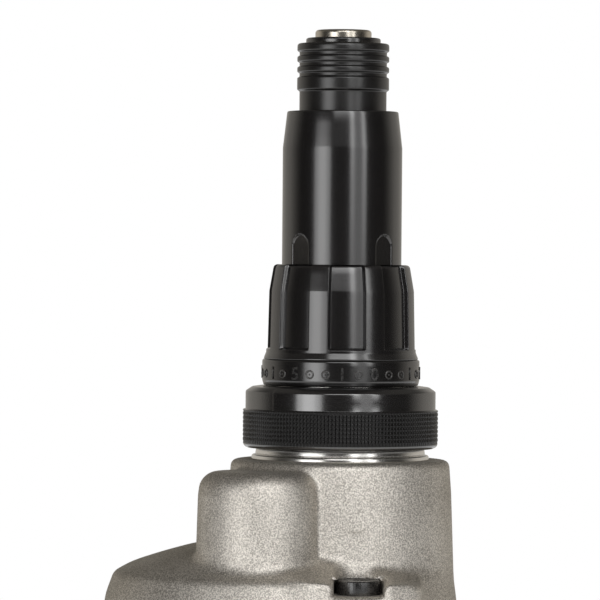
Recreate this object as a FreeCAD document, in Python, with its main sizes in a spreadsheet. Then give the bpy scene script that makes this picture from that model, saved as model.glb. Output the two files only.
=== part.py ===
"""Drywall screwdriver: quick-change nose, cast gear case, universal motor and pistol handle.

Millimetres. The spindle axis is Z, the nose points up, and the tool stands on its flat back at
z = 0, where the spindle axis meets that plane. The motor axis lies beside the spindle axis,
towards the handle, which reaches out along -X.
"""
import FreeCAD, Part
import math
import os
import re

import Sketcher
from FreeCAD import Placement, Rotation, Vector

SIZES = {
    # Lengths along the tool and the offset between its two main axes
    "rear_height": 66.0,
    "motor_length": 96.0,
    "case_height": 47.0,
    "motor_offset": 11.0,
    # Clearances: seated pieces, running shafts, turning faces and pieces that travel
    "seat_gap": 0.02,
    "running_gap": 0.05,
    "turn_gap": 0.1,
    "control_gap": 0.2,
    "travel_gap": 0.4,
    "cut_margin": 1.0,
    # Bit holder and its quick-change collar
    "socket_flats": 6.35,
    "socket_depth": 22.0,
    "holder_radius": 5.2,
    "holder_lead": 1.5,
    "shank_radius": 4.0,
    "shank_length": 13.0,
    "tip_height": 1.5,
    "tip_round": 0.6,
    "cap_radius": 6.9,
    "cap_height": 0.9,
    "cap_round": 0.4,
    "ball_radius": 1.5,
    "ball_reach": 3.65,
    "ball_drop": 5.3,
    "collar_radius": 8.5,
    "collar_height": 8.9,
    "collar_band": 2.6,
    "rib_pitch": 1.95,
    "rib_groove_width": 0.85,
    "rib_groove_depth": 0.65,
    "skirt_radius": 8.05,
    "skirt_length": 13.45,
    "chamber_radius": 6.9,
    "chamber_height": 14.5,
    "release_radius": 6.3,
    "release_height": 3.0,
    "collar_lip": 0.7,
    "clip_radius": 6.7,
    "clip_height": 1.0,
    "clip_rise": 4.0,
    "collar_spring_wire": 0.7,
    "collar_spring_turns": 4.5,
    # Depth stop: sliding sleeve, fluted adjusting sleeve, scale ring and lock collar
    "stop_length": 52.0,
    "stop_exposed": 28.3,
    "stop_radius": 11.05,
    "stop_tip_radius": 10.27,
    "stop_taper": 6.8,
    "stop_bore": 8.8,
    "chuck_gap": 3.65,
    "key_width": 4.2,
    "key_depth": 0.45,
    "key_groove_length": 29.3,
    "adjust_height": 17.5,
    "adjust_base_radius": 14.0,
    "adjust_top_radius": 13.0,
    "adjust_round": 0.7,
    "panel_angle": 30.0,
    "panel_depth": 0.8,
    "panel_sill": 1.8,
    "panel_turn": 4.2,
    "scale_radius": 14.55,
    "scale_height": 4.8,
    "scale_spigot_radius": 13.2,
    "lock_height": 11.5,
    "lock_radius": 17.95,
    "lock_step_radius": 17.5,
    "lock_step_height": 7.1,
    "lock_round": 0.9,
    "lock_foot_round": 1.3,
    # Steel neck pressed into the gear case, and the bush that carries the spindle
    "neck_height": 2.0,
    "neck_spigot": 8.0,
    "neck_spigot_radius": 15.0,
    "neck_flange_radius": 16.4,
    "neck_flange_height": 1.0,
    "neck_groove_height": 0.25,
    "neck_groove_depth": 0.6,
    "neck_band_radius": 15.8,
    "neck_tube_radius": 12.3,
    "neck_reach": 1.0,
    "bush_radius": 9.0,
    "bush_length": 16.0,
    # Spindle, dog clutch and the dead pin that the clutch gear runs on
    "spindle_radius": 6.5,
    "spindle_waist_radius": 6.0,
    "spindle_waist_rise": 26.0,
    "dog_radius": 10.0,
    "dog_height": 2.5,
    "dog_angle": 50.0,
    "dog_count": 3,
    "dog_gap": 1.5,
    "spindle_flange": 2.5,
    "spring_bore": 4.6,
    "spring_bore_depth": 11.0,
    "guide_depth": 9.0,
    "pin_radius": 2.5,
    "pin_reach": 5.0,
    "pin_seat": 4.5,
    "pin_shoulder_radius": 3.6,
    "pin_clip_radius": 4.3,
    "pin_clip_height": 0.8,
    "washer_height": 1.5,
    "washer_gap": 0.2,
    "clutch_spring_wire": 0.8,
    "clutch_spring_turns": 4.0,
    "gear_bush_radius": 4.0,
    # Gear train
    "pressure_angle": 25.0,
    "tooth_addendum": 0.9,
    "tooth_dedendum": 1.2,
    "tooth_backlash": 0.14,
    "fast_module": 0.8,
    "motor_pinion_teeth": 15,
    "layshaft_gear_teeth": 30,
    "slow_module": 1.0,
    "layshaft_pinion_teeth": 13,
    "spindle_gear_teeth": 33,
    "spindle_gear_width": 6.0,
    "motor_pinion_width": 7.0,
    "layshaft_gear_width": 5.0,
    "layshaft_pinion_width": 13.0,
    "layshaft_radius": 4.0,
    "layshaft_bush_radius": 5.5,
    "layshaft_bush_length": 6.0,
    "layshaft_spacer_radius": 5.5,
    "spacer_lap": 1.0,
    # Cast gear case
    "gear_room": 0.5,
    "barrel_top_radius": 20.0,
    "barrel_waist_radius": 20.4,
    "barrel_waist_drop": 6.0,
    "barrel_foot_radius": 21.1,
    "barrel_foot_drop": 26.0,
    "barrel_round": 1.0,
    "boss_radius": 10.9,
    "boss_drop": 1.2,
    "boss_round": 4.0,
    "case_draft": 1.0,
    "case_side_rise": 21.0,
    "case_rim_inset": 2.1,
    "case_rim_rise": 25.3,
    "case_brow_inset": 3.9,
    "case_brow_rise": 27.1,
    "case_roof_inset": 17.9,
    "case_roof_rise": 31.6,
    "plate_height": 8.0,
    "plate_boss_height": 3.0,
    "plate_boss_radius": 6.0,
    # Gear case screws
    "screw_radius": 2.5,
    "screw_head_radius": 4.0,
    "screw_head_height": 3.5,
    "screw_socket": 4.0,
    "screw_seat_rise": 24.8,
    "screw_depth": 8.0,
    "screw_column": 5.5,
    "screw_setback": 5.08,
    "screw_angle": 59.9,
    "notch_radius": 4.6,
    "notch_height": 6.0,
    "lug_out": 4.4,
    "lug_radius": 6.0,
    "lug_seat_rise": 15.0,
    # Motor: bearings, armature, fan, field and brushes
    "shaft_radius": 4.0,
    "front_bearing_radius": 11.0,
    "front_bearing_width": 6.0,
    "rear_bearing_radius": 9.5,
    "rear_bearing_bore": 3.5,
    "rear_bearing_width": 6.0,
    "bearing_race": 2.2,
    "core_radius": 17.5,
    "core_length": 40.0,
    "core_rise": 38.0,
    "core_slots": 12,
    "core_slot_width": 2.4,
    "core_slot_depth": 7.0,
    "winding_radius": 15.5,
    "winding_reach": 7.0,
    "commutator_radius": 11.0,
    "commutator_length": 14.0,
    "commutator_rise": 14.0,
    "commutator_bars": 24,
    "slit_depth": 1.0,
    "slit_width": 0.4,
    "fan_radius": 21.5,
    "fan_height": 8.0,
    "fan_rise": 85.5,
    "fan_disc": 1.5,
    "fan_hub_radius": 8.0,
    "fan_blades": 12,
    "fan_blade_width": 1.4,
    "baffle_height": 1.5,
    "baffle_drop": 2.0,
    "baffle_gap": 1.0,
    "air_gap": 0.7,
    "pole_depth": 8.8,
    "field_pad": 3.0,
    "pad_angle": 20.0,
    "field_length": 44.0,
    "field_yoke": 4.0,
    "pole_shoe": 2.6,
    "pole_width": 14.0,
    "pole_angle": 110.0,
    "coil_angle": 100.0,
    "coil_reach": 3.0,
    "coil_gap": 0.4,
    "brush_width": 6.0,
    "brush_height": 5.0,
    "brush_length": 12.0,
    "brush_rise": 21.0,
    "brush_tube_wall": 1.2,
    "brush_cap_radius": 6.5,
    "brush_cap_depth": 5.0,
    "cap_slot_margin": 1.0,
    "cap_slot_depth": 1.5,
    "cap_slot_width": 1.5,
    "tube_setback": 2.0,
    "tunnel_wall": 2.0,
    "tunnel_setback": 6.0,
    # Motor housing
    "shell_flare": 0.4,
    "shell_wall": 3.0,
    "spider_arms": 4,
    "spider_height": 4.0,
    "spider_boss_wall": 2.5,
    "spigot_length": 6.0,
    "spigot_wall": 2.5,
    "vent_count": 10,
    "vent_width": 2.6,
    "vent_height": 9.0,
    "vent_drop": 13.0,
    "flute_count": 18,
    "flute_radius": 1.6,
    "flute_sink": 0.7,
    "flute_margin": 9.0,
    # Handle shells, split down the middle
    "handle_wall": 2.8,
    "handle_reach": 154.0,
    "handle_width": 32.0,
    "handle_round": 10.0,
    "handle_neck_depth": 42.0,
    "handle_waist_depth": 36.0,
    "handle_waist_share": 0.4,
    "handle_foot_depth": 43.0,
    "handle_foot_round": 8.0,
    "trigger_bay_reach": 84.0,
    "back_round": 7.0,
    "intake_count": 5,
    "intake_pitch": 6.0,
    "intake_width": 2.6,
    "intake_height": 24.0,
    "intake_rise": 22.0,
    "shell_screw_radius": 2.0,
    "shell_screw_head_radius": 3.5,
    "shell_screw_head_height": 2.4,
    "shell_screw_half": 11.0,
    "shell_post_radius": 5.2,
    "foot_post_setback": 14.0,
    "bay_post_setback": 4.0,
    "low_post_rise": 7.0,
    "button_post_gap": 20.0,
    "waist_post_rise": 25.5,
    "cap_post_reach": 22.0,
    "cap_post_rise": 12.0,
    # Trigger, switch, reversing lever, lock-on button and cord inlet
    "trigger_front": 51.0,
    "trigger_length": 28.0,
    "trigger_width": 14.0,
    "trigger_out": 15.0,
    "trigger_dip": 4.0,
    "trigger_flange": 2.4,
    "trigger_drop": 0.95,
    "trigger_flange_lip": 2.2,
    "trigger_travel": 7.0,
    "plunger_radius": 3.0,
    "plunger_length": 15.0,
    "switch_width": 18.0,
    "switch_length": 30.0,
    "switch_floor": 7.0,
    "switch_height": 20.0,
    "lever_reach": 64.0,
    "lever_rise": 21.0,
    "lever_radius": 7.0,
    "lever_flange": 1.4,
    "lever_bar_width": 4.0,
    "lever_bar_out": 3.0,
    "button_reach": 92.0,
    "button_rise": 22.0,
    "button_radius": 4.5,
    "button_out": 3.2,
    "button_flange": 1.2,
    "gland_radius": 6.5,
    "gland_bore": 4.0,
    "gland_flange": 2.0,
    "gland_out": 4.0,
    "gland_in": 8.0,
    "gland_rise": 20.0,
}

# Places along Z and centres across, each worked out from the sizes
LEVELS = {
    "joint_z": "rear_height + motor_length",
    "shoulder_z": "joint_z + case_height",
    "neck_z": "shoulder_z - neck_spigot",
    "lock_z": "shoulder_z + neck_height + turn_gap",
    "scale_z": "lock_z + lock_height + turn_gap",
    "adjust_z": "scale_z + scale_height",
    "adjust_top_z": "adjust_z + adjust_height",
    "stop_z": "adjust_top_z + stop_exposed - stop_length",
    "collar_z": "adjust_top_z + stop_exposed + chuck_gap",
    "skirt_z": "collar_z - skirt_length",
    "cap_z": "collar_z + collar_height + turn_gap",
    "holder_z": "skirt_z - holder_lead",
    "spindle_z": "neck_z - turn_gap - spindle_flange - dog_height",
    "gear_z": "spindle_z - dog_gap - dog_height - spindle_gear_width",
    "pin_clip_z": "gear_z + spindle_gear_width + dog_height + turn_gap",
    "washer_z": "spindle_z + spring_bore_depth - turn_gap - washer_height",
    "plate_top_z": "joint_z + plate_height",
    "pin_foot_z": "plate_top_z + plate_boss_height - pin_seat",
    "motor_pinion_z": "plate_top_z + plate_boss_height + 2 * gear_room",
    "layshaft_gear_z": "motor_pinion_z + (motor_pinion_width - layshaft_gear_width) / 2",
    "layshaft_pinion_z": "gear_z + (spindle_gear_width - layshaft_pinion_width) / 2",
    "layshaft_top_z": "layshaft_pinion_z + layshaft_pinion_width + gear_room + layshaft_bush_length",
    "layshaft_foot_z": "plate_top_z - layshaft_bush_length",
    "fast_centre": "fast_module * (motor_pinion_teeth + layshaft_gear_teeth) / 2",
    "slow_centre": "slow_module * (layshaft_pinion_teeth + spindle_gear_teeth) / 2",
    "layshaft_x": "(fast_centre ^ 2 - slow_centre ^ 2 - motor_offset ^ 2) / (2 * motor_offset)",
    "layshaft_y": "0 - sqrt(slow_centre ^ 2 - layshaft_x ^ 2)",
    "rear_bearing_z": "rear_height - rear_bearing_width - spider_height / 2",
    "core_z": "rear_height + core_rise",
    "field_z": "core_z + (core_length - field_length) / 2",
    "commutator_z": "rear_height + commutator_rise",
    "fan_z": "rear_height + fan_rise",
    "brush_z": "rear_height + brush_rise",
    "pole_bore": "core_radius + air_gap",
    "field_radius": "pole_bore + pole_depth",
    "shell_bore": "field_radius + field_pad",
    "shell_radius": "shell_bore + shell_wall",
    "plate_radius": "shell_bore",
    "case_foot_radius": "shell_radius + shell_flare",
    "case_side_radius": "case_foot_radius - case_draft",
    "case_rim_radius": "case_foot_radius - case_rim_inset",
    "case_brow_radius": "case_foot_radius - case_brow_inset",
    "case_roof_radius": "case_foot_radius - case_roof_inset",
    "screw_reach_x": "(case_foot_radius - screw_setback) * cos(screw_angle)",
    "screw_reach_y": "(case_foot_radius - screw_setback) * sin(screw_angle)",
    "lug_reach": "case_foot_radius + lug_out",
    "handle_waist_reach": "trigger_bay_reach + handle_waist_share * (handle_reach - trigger_bay_reach)",
    "trigger_seat": "handle_neck_depth - handle_wall - trigger_flange - trigger_drop",
}

WORD = re.compile(r"[a-z][a-z_0-9]*")

doc = FreeCAD.newDocument("drywall_screwdriver")
sheet = doc.addObject("Spreadsheet::Sheet", "Sizes")
for row, (alias, amount) in enumerate(SIZES.items(), 1):
    sheet.set(f"A{row}", alias.replace("_", " "))
    sheet.set(f"B{row}", str(amount))
    sheet.setAlias(f"B{row}", alias)
doc.recompute()

pieces = []


def formula(text):
    """The text with each level spelled out and each size pointing at its cell."""
    def swap(match):
        word = match.group(0)
        if word in LEVELS:
            return "(" + formula(LEVELS[word]) + ")"
        return "Sizes." + word if word in SIZES else word
    return WORD.sub(swap, str(text))


def number(text):
    """The value of a formula, as a plain number."""
    return float(sheet.evalExpression(formula(text)))


def bind(thing, **bindings):
    """Tie properties of an object to formulas."""
    for name, text in bindings.items():
        thing.setExpression(name, formula(text))
    return thing


def place(thing, x="0", y="0", z="0", turn="0"):
    """Put an object at a point, turned about Z by degrees."""
    bind(thing, **{"Placement.Base.x": x, "Placement.Base.y": y, "Placement.Base.z": z})
    if turn != "0":
        bind(thing, **{"Placement.Rotation.Angle": turn})
    return thing


def keep(thing, label, **where):
    """Name a finished sub-part, place it and list it for export."""
    thing.Label = label
    pieces.append(thing)
    return place(thing, **where)


def plane(body, role):
    """One of a body's own origin planes."""
    return [item for item in body.Origin.OriginFeatures if item.Role == role][0]


def sketch_on(body, role, name):
    """An empty sketch on one of a body's origin planes."""
    sketch = body.newObject("Sketcher::SketchObject", name)
    sketch.AttachmentSupport = [(plane(body, role), "")]
    sketch.MapMode = "FlatFace"
    return sketch


def pin_point(sketch, geometry, end, x, y):
    """Hold a sketch point at a place given by two formulas."""
    for kind, text in (("DistanceX", x), ("DistanceY", y)):
        rule = Sketcher.Constraint(kind, -1, 1, geometry, end, number(text))
        bind(sketch, **{f"Constraints[{sketch.addConstraint(rule)}]": text})


def polygon(sketch, points):
    """A closed outline of straight lines, every corner held by formulas."""
    corners = [Vector(number(x), number(y), 0) for x, y in points]
    first = sketch.GeometryCount
    count = len(corners)
    for index in range(count):
        sketch.addGeometry(Part.LineSegment(corners[index], corners[(index + 1) % count]), False)
    for index in range(count):
        after = first + (index + 1) % count
        sketch.addConstraint(Sketcher.Constraint("Coincident", first + index, 2, after, 1))
    for index, (x, y) in enumerate(points):
        pin_point(sketch, first + index, 1, x, y)


def turned(name, profile):
    """A body turned about Z from (radius, height) corners."""
    body = doc.addObject("PartDesign::Body", name)
    sketch = sketch_on(body, "XZ_Plane", name + "_profile")
    polygon(sketch, profile)
    feature = body.newObject("PartDesign::Revolution", name + "_turn")
    feature.Profile = sketch
    feature.ReferenceAxis = (sketch, ["V_Axis"])
    feature.Angle = 360
    doc.recompute()
    return body


def ring(name, inner, outer, height):
    """A plain turned ring from z = 0 up."""
    return turned(name, [(inner, "0"), (outer, "0"), (outer, height), (inner, height)])


def rounded(body, radius, pick):
    """Round the edges of a body that a test picks."""
    base = body.Tip
    edges = [f"Edge{i}" for i, edge in enumerate(base.Shape.Edges, 1) if pick(edge)]
    feature = body.newObject("PartDesign::Fillet", body.Name + "_round")
    feature.Base = (base, edges)
    bind(feature, Radius=radius)
    body.Tip = feature
    doc.recompute()
    return body


def circle_at(radius, height):
    """A test for the circular edge of a given radius at a given local height."""
    wide, high = number(radius), number(height)

    def test(edge):
        curve = edge.Curve
        return (isinstance(curve, Part.Circle) and abs(curve.Radius - wide) < 1e-6
                and abs(curve.Center.z - high) < 1e-6)
    return test


def cylinder(name, radius, height, x="0", y="0", z="0", angle="360", turn="0"):
    """A round bar, or a slice of one, standing on a point."""
    bar = bind(doc.addObject("Part::Cylinder", name), Radius=radius, Height=height, Angle=angle)
    return place(bar, x, y, z, turn)


def crossbar(name, radius, length, x, y, z):
    """A round bar that runs along +Y from a point."""
    bar = bind(doc.addObject("Part::Cylinder", name), Radius=radius, Height=length)
    bar.Placement = Placement(Vector(), Rotation(Vector(1, 0, 0), -90))
    return place(bar, x, y, z)


def block(name, length, width, height, x, y, z):
    """A box, centred on Y, from a point at its low X and low Z."""
    box = bind(doc.addObject("Part::Box", name), Length=length, Width=width, Height=height)
    return place(box, x, f"({y}) - ({width}) / 2", z)


def joined(name, parts):
    """Several overlapping shapes as one."""
    union = doc.addObject("Part::MultiFuse", name)
    union.Shapes = parts
    return union


def carved(name, base, tools):
    """A shape with other shapes taken out of it."""
    cut = doc.addObject("Part::Cut", name)
    cut.Base = base
    cut.Tool = tools[0] if len(tools) == 1 else joined(name + "_tools", tools)
    return cut


def overlap(name, first, second):
    """What two shapes share."""
    common = doc.addObject("Part::Common", name)
    common.Base = first
    common.Tool = second
    return common


def grouped(name, parts):
    """Separate solids kept as one group."""
    group = doc.addObject("Part::Compound", name)
    group.Links = parts
    return group


def coil(name, radius, wire, turns, length):
    """A round-wire compression spring about Z that fills a length, from its first wire's centre."""
    mean, thick, count = number(radius), number(wire), number(turns)
    climb = (number(length) - thick) / (count * 2 * math.pi)

    def spot(angle):
        return Vector(mean * math.cos(angle), mean * math.sin(angle), climb * angle)

    def heading(angle):
        return Vector(-mean * math.sin(angle), mean * math.cos(angle), climb).normalize()

    def arc(start, end, tangent, side):
        chord = end - start
        along = Vector(chord).normalize()
        across = (tangent - along * tangent.dot(along)).normalize()
        bulge = chord.Length / 2 * math.tan(tangent.getAngle(along) / 2)
        return Part.Arc(start, (start + end) / 2 + across * side * bulge, end).toShape()
    edges = []
    quarters = math.ceil(4 * count)
    for quarter in range(quarters):
        low, high = (step * 2 * math.pi * count / quarters for step in (quarter, quarter + 1))
        first, last, out, back = spot(low), spot(high), heading(low), heading(high)
        reach, turn = (last - first).dot(out + back), 2 * (1 - out.dot(back))
        span = (math.sqrt(reach ** 2 + turn * (last - first).Length ** 2) - reach) / turn
        middle = (first + last + (out - back) * span) / 2
        edges += [arc(first, middle, out, 1), arc(middle, last, back, -1)]
    section = Part.Wire(Part.makeCircle(thick / 2, spot(0), heading(0)))
    spring = doc.addObject("Part::Feature", name)
    spring.Shape = Part.Wire(edges).makePipeShell([section], True, False)
    gap = 2 * math.pi * climb - thick
    print(f"{name}: {sum(edge.Length for edge in edges):.1f} mm of wire, {gap:.2f} mm between turns")
    return spring


def tooth_outline(module, teeth, phase):
    """The closed outline of an involute gear with a tooth centred at the phase angle."""
    pitch = number(module) * number(teeth) / 2
    pressure = math.radians(number("pressure_angle"))
    base = pitch * math.cos(pressure)
    tip = pitch + number(f"tooth_addendum * {module}")
    root = pitch - number(f"tooth_dedendum * {module}")
    half = math.pi / 2 / number(teeth) - number("tooth_backlash") / 4 / pitch
    start = max(base, root)

    def flank(radius):
        bend = math.acos(base / radius)
        return half + math.tan(pressure) - pressure - math.tan(bend) + bend

    def at(radius, angle):
        return Vector(radius * math.cos(angle), radius * math.sin(angle), 0)

    edges = []
    step = 2 * math.pi / number(teeth)
    radii = [start + (tip - start) * share / 4 for share in range(5)]
    for tooth in range(int(number(teeth))):
        middle = phase + tooth * step
        rise = [at(radius, middle - flank(radius)) for radius in radii]
        fall = [at(radius, middle + flank(radius)) for radius in reversed(radii)]
        foot_in = at(root, middle - flank(start))
        foot_out = at(root, middle + flank(start))
        next_foot = at(root, middle + step - flank(start))
        up, down = Part.BSplineCurve(), Part.BSplineCurve()
        up.interpolate(rise)
        down.interpolate(fall)
        if start > root:
            edges.append(Part.LineSegment(foot_in, rise[0]))
        edges += [up, Part.Arc(rise[-1], at(tip, middle), fall[0]), down]
        if start > root:
            edges.append(Part.LineSegment(fall[-1], foot_out))
        edges.append(Part.Arc(foot_out, at(root, middle + step / 2), next_foot))
    return Part.Wire([edge.toShape() for edge in edges])


def toothed(name, module, teeth, width, bore, phase):
    """A spur gear from z = 0 up, with its bore."""
    gear = doc.addObject("Part::Feature", name)
    blank = Part.Face(tooth_outline(module, teeth, phase)).extrude(Vector(0, 0, number(width)))
    if number(bore) > 0:
        blank = blank.cut(Part.makeCylinder(number(bore), number(width)))
    gear.Shape = blank
    return gear


def meshing_phase(phase, teeth, other_teeth, towards):
    """The phase of a gear that meshes with another, seen in a direction from that other gear."""
    ahead = number(teeth) * (towards - phase) / (2 * math.pi)
    return towards + math.pi - 2 * math.pi * (0.5 - ahead) / number(other_teeth)


def make_bit_holder():
    """Steel holder with a hexagon socket, its cap, detent ball and spring clip."""
    length = "shank_length + (cap_z - holder_z) + cap_height + tip_height"
    blank = turned("holder_blank", [
        ("0", "0"), ("shank_radius", "0"), ("shank_radius", "shank_length"),
        ("holder_radius", "shank_length"), ("holder_radius", length), ("0", length)])
    rounded(blank, "tip_round", circle_at("holder_radius", length))
    socket = bind(doc.addObject("Part::Prism", "holder_socket"),
                  Circumradius="socket_flats / sqrt(3)", Height="socket_depth + 1")
    socket.Polygon = 6
    place(socket, z=f"{length} - socket_depth")
    ball_rise = "shank_length + (cap_z - holder_z) - ball_drop"
    window = bind(doc.addObject("Part::Cylinder", "holder_window"),
                  Radius="ball_radius + running_gap", Height="holder_radius + 1")
    window.Placement = Placement(Vector(), Rotation(Vector(0, 1, 0), 90))
    place(window, z=ball_rise)
    keep(carved("holder", blank, [socket, window]), "bit_holder", z="holder_z - shank_length")

    ball = bind(doc.addObject("Part::Sphere", "ball"), Radius="ball_radius")
    keep(ball, "detent_ball", x="ball_reach", z="cap_z - ball_drop")

    cap = ring("cap", "holder_radius + seat_gap", "cap_radius", "cap_height")
    rounded(cap, "cap_round", circle_at("cap_radius", "cap_height"))
    keep(cap, "chuck_cap", z="cap_z")

    clip = ring("clip", "holder_radius + seat_gap", "clip_radius", "clip_height")
    keep(clip, "spring_clip", z="holder_z + clip_rise")


def make_chuck_collar():
    """Ribbed release collar with its skirt, and the spring that holds it forward."""
    total = "skirt_length + collar_height"
    groove = "collar_radius - rib_groove_depth"
    profile = [("chamber_radius", "0"), ("skirt_radius", "0"), ("skirt_radius", "skirt_length")]
    for rib in range(3):
        low = f"skirt_length + collar_band + {rib} * rib_pitch"
        high = f"{low} + rib_groove_width"
        if rib == 0:
            profile.append(("collar_radius", "skirt_length"))
        profile += [("collar_radius", low), (groove, low), (groove, high), ("collar_radius", high)]
    sliding = "holder_radius + 3 * running_gap"
    lip = f"{total} - collar_lip"
    release = f"{lip} - release_height"
    profile += [
        ("collar_radius", total), (sliding, total), (sliding, lip), ("release_radius", lip),
        ("release_radius", release), (sliding, release), (sliding, "chamber_height"),
        ("chamber_radius", "chamber_height")]
    keep(turned("collar", profile), "chuck_collar", z="skirt_z")

    foot = "holder_z + clip_rise + clip_height"
    spring = coil("collar_spring", "(holder_radius + chamber_radius) / 2", "collar_spring_wire",
                  "collar_spring_turns", f"skirt_z + chamber_height - ({foot})")
    keep(spring, "chuck_spring", z=f"{foot} + collar_spring_wire / 2")


def make_depth_stop():
    """Tapered stop sleeve, fluted adjusting sleeve, scale ring and knurled lock collar."""
    sleeve = turned("sleeve", [
        ("stop_bore", "0"), ("stop_radius", "0"), ("stop_radius", "stop_length - stop_taper"),
        ("stop_tip_radius", "stop_length"), ("stop_bore", "stop_length")])
    keys = []
    for corner in range(4):
        arm = f"{45 + 90 * corner}"
        floor = "stop_radius - key_depth"
        slot = block(f"key_slot_{corner}", "2 * key_depth", "key_width",
                     "key_groove_length - key_width / 2", "0", "0", "0")
        arch = bind(doc.addObject("Part::Cylinder", f"key_arch_{corner}"),
                    Radius="key_width / 2", Height="2 * key_depth")
        arch.Placement = Placement(Vector(), Rotation(Vector(0, 1, 0), 90))
        place(arch, z="key_groove_length - key_width / 2")
        key = joined(f"key_groove_{corner}", [slot, arch])
        place(key, f"({floor}) * cos({arm})", f"({floor}) * sin({arm})", turn=arm)
        keys.append(key)
    keep(carved("sleeve_grooved", sleeve, keys), "stop_sleeve", z="stop_z")

    spigot = "scale_height"
    top = "scale_height + adjust_height"
    thread = "stop_radius + running_gap"
    shank = "neck_tube_radius + running_gap"
    seat = "scale_height + neck_reach + turn_gap"
    sill = "scale_height + panel_sill"
    adjuster = turned("adjuster", [
        (shank, "0"), ("scale_spigot_radius", "0"), ("scale_spigot_radius", spigot),
        ("adjust_base_radius", spigot), ("adjust_top_radius", top), (thread, top), (thread, seat),
        (shank, seat)])
    rounded(adjuster, "adjust_round", circle_at("adjust_top_radius", top))
    panel = sketch_on(adjuster, "XZ_Plane", "panel_profile")
    beyond = "adjust_base_radius + 1"
    polygon(panel, [
        ("adjust_base_radius - panel_depth", sill), (beyond, sill), (beyond, f"{top} + 1"),
        ("adjust_top_radius - panel_depth", f"{top} + 1")])
    groove = adjuster.newObject("PartDesign::Groove", "panel_cut")
    groove.Profile = panel
    groove.ReferenceAxis = (panel, ["V_Axis"])
    groove.Midplane = True
    bind(groove, Angle="panel_angle")
    flutes = adjuster.newObject("PartDesign::PolarPattern", "panels")
    flutes.Originals = [groove]
    flutes.Axis = (panel, ["V_Axis"])
    flutes.Angle = 360
    flutes.Occurrences = 8
    adjuster.Tip = flutes
    keep(adjuster, "adjusting_sleeve", z="scale_z", turn="panel_turn")

    scale = ring("scale", "scale_spigot_radius + seat_gap", "scale_radius", "scale_height")
    keep(scale, "scale_ring", z="scale_z")

    collar = turned("lock", [
        (shank, "0"), ("lock_radius", "0"), ("lock_radius", "lock_step_height"),
        ("lock_step_radius", "lock_step_height"), ("lock_step_radius", "lock_height"),
        (shank, "lock_height")])
    rounded(collar, "lock_foot_round", circle_at("lock_radius", "0"))
    rounded(collar, "lock_round", circle_at("lock_step_radius", "lock_height"))
    keep(collar, "lock_collar", z="lock_z")


def make_neck():
    """Machined neck with its tube and keys, and the bush that carries the spindle."""
    flange = "neck_spigot + neck_flange_height"
    groove = f"{flange} + neck_groove_height"
    tube = "neck_spigot + neck_height"
    top = "adjust_z + neck_reach - neck_z"
    bore = "stop_radius + running_gap"
    low = "neck_band_radius - neck_groove_depth"
    blank = turned("neck_blank", [
        ("bush_radius", "0"), ("neck_spigot_radius", "0"), ("neck_spigot_radius", "neck_spigot"),
        ("neck_flange_radius", "neck_spigot"), ("neck_flange_radius", flange), (low, flange),
        (low, groove), ("neck_band_radius", groove), ("neck_band_radius", tube),
        ("neck_tube_radius", tube), ("neck_tube_radius", top), (bore, top), (bore, "bush_length"),
        ("bush_radius", "bush_length")])
    keys = []
    for corner in range(4):
        arm = f"{45 + 90 * corner}"
        inner = "stop_radius - key_depth / 2"
        key = block(f"neck_key_{corner}", "key_depth", "key_width - 2 * travel_gap",
                    f"{top} - bush_length", "0", "0", "0")
        place(key, f"({inner}) * cos({arm}) + (key_width / 2 - travel_gap) * sin({arm})",
              f"({inner}) * sin({arm}) - (key_width / 2 - travel_gap) * cos({arm})",
              "bush_length", arm)
        keys.append(key)
    keep(joined("neck", [blank] + keys), "neck_bush", z="neck_z")

    bush = ring("bush", "spindle_radius + running_gap", "bush_radius - seat_gap", "bush_length")
    keep(bush, "spindle_bush", z="neck_z")


def make_spindle():
    """Spindle with clutch dogs, the thrust washer it rests on and the clutch spring."""
    top = "holder_z - spindle_z"
    flange = "dog_height + spindle_flange"
    guide = "pin_radius + 4 * running_gap"
    ceiling = "spring_bore_depth + guide_depth"
    shank = "shank_radius + seat_gap"
    shank_floor = f"{top} - shank_length - travel_gap"
    blank = turned("spindle_blank", [
        ("spring_bore", "0"), ("dog_radius", "0"), ("dog_radius", flange),
        ("spindle_radius", flange), ("spindle_radius", "spindle_waist_rise"),
        ("spindle_waist_radius", "spindle_waist_rise"), ("spindle_waist_radius", top),
        (shank, top), (shank, shank_floor), ("0", shank_floor), ("0", ceiling), (guide, ceiling),
        (guide, "spring_bore_depth"), ("spring_bore", "spring_bore_depth")])
    gaps = []
    for dog in range(int(number("dog_count"))):
        middle = f"{dog} * 360 / dog_count"
        gaps.append(cylinder(f"dog_gap_{dog}", "dog_radius + 1", "dog_height",
                             angle="360 / dog_count - dog_angle",
                             turn=f"{middle} - (360 / dog_count - dog_angle) / 2"))
    keep(carved("spindle_cut", blank, gaps), "spindle", z="spindle_z")

    washer = ring("washer", "pin_radius + running_gap", "spring_bore - washer_gap", "washer_height")
    keep(washer, "thrust_washer", z="washer_z")

    foot = "pin_clip_z + pin_clip_height"
    spring = coil("clutch_coil", "(pin_radius + spring_bore) / 2", "clutch_spring_wire",
                  "clutch_spring_turns", f"washer_z - ({foot})")
    keep(spring, "clutch_spring", z=f"{foot} + clutch_spring_wire / 2")


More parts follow.
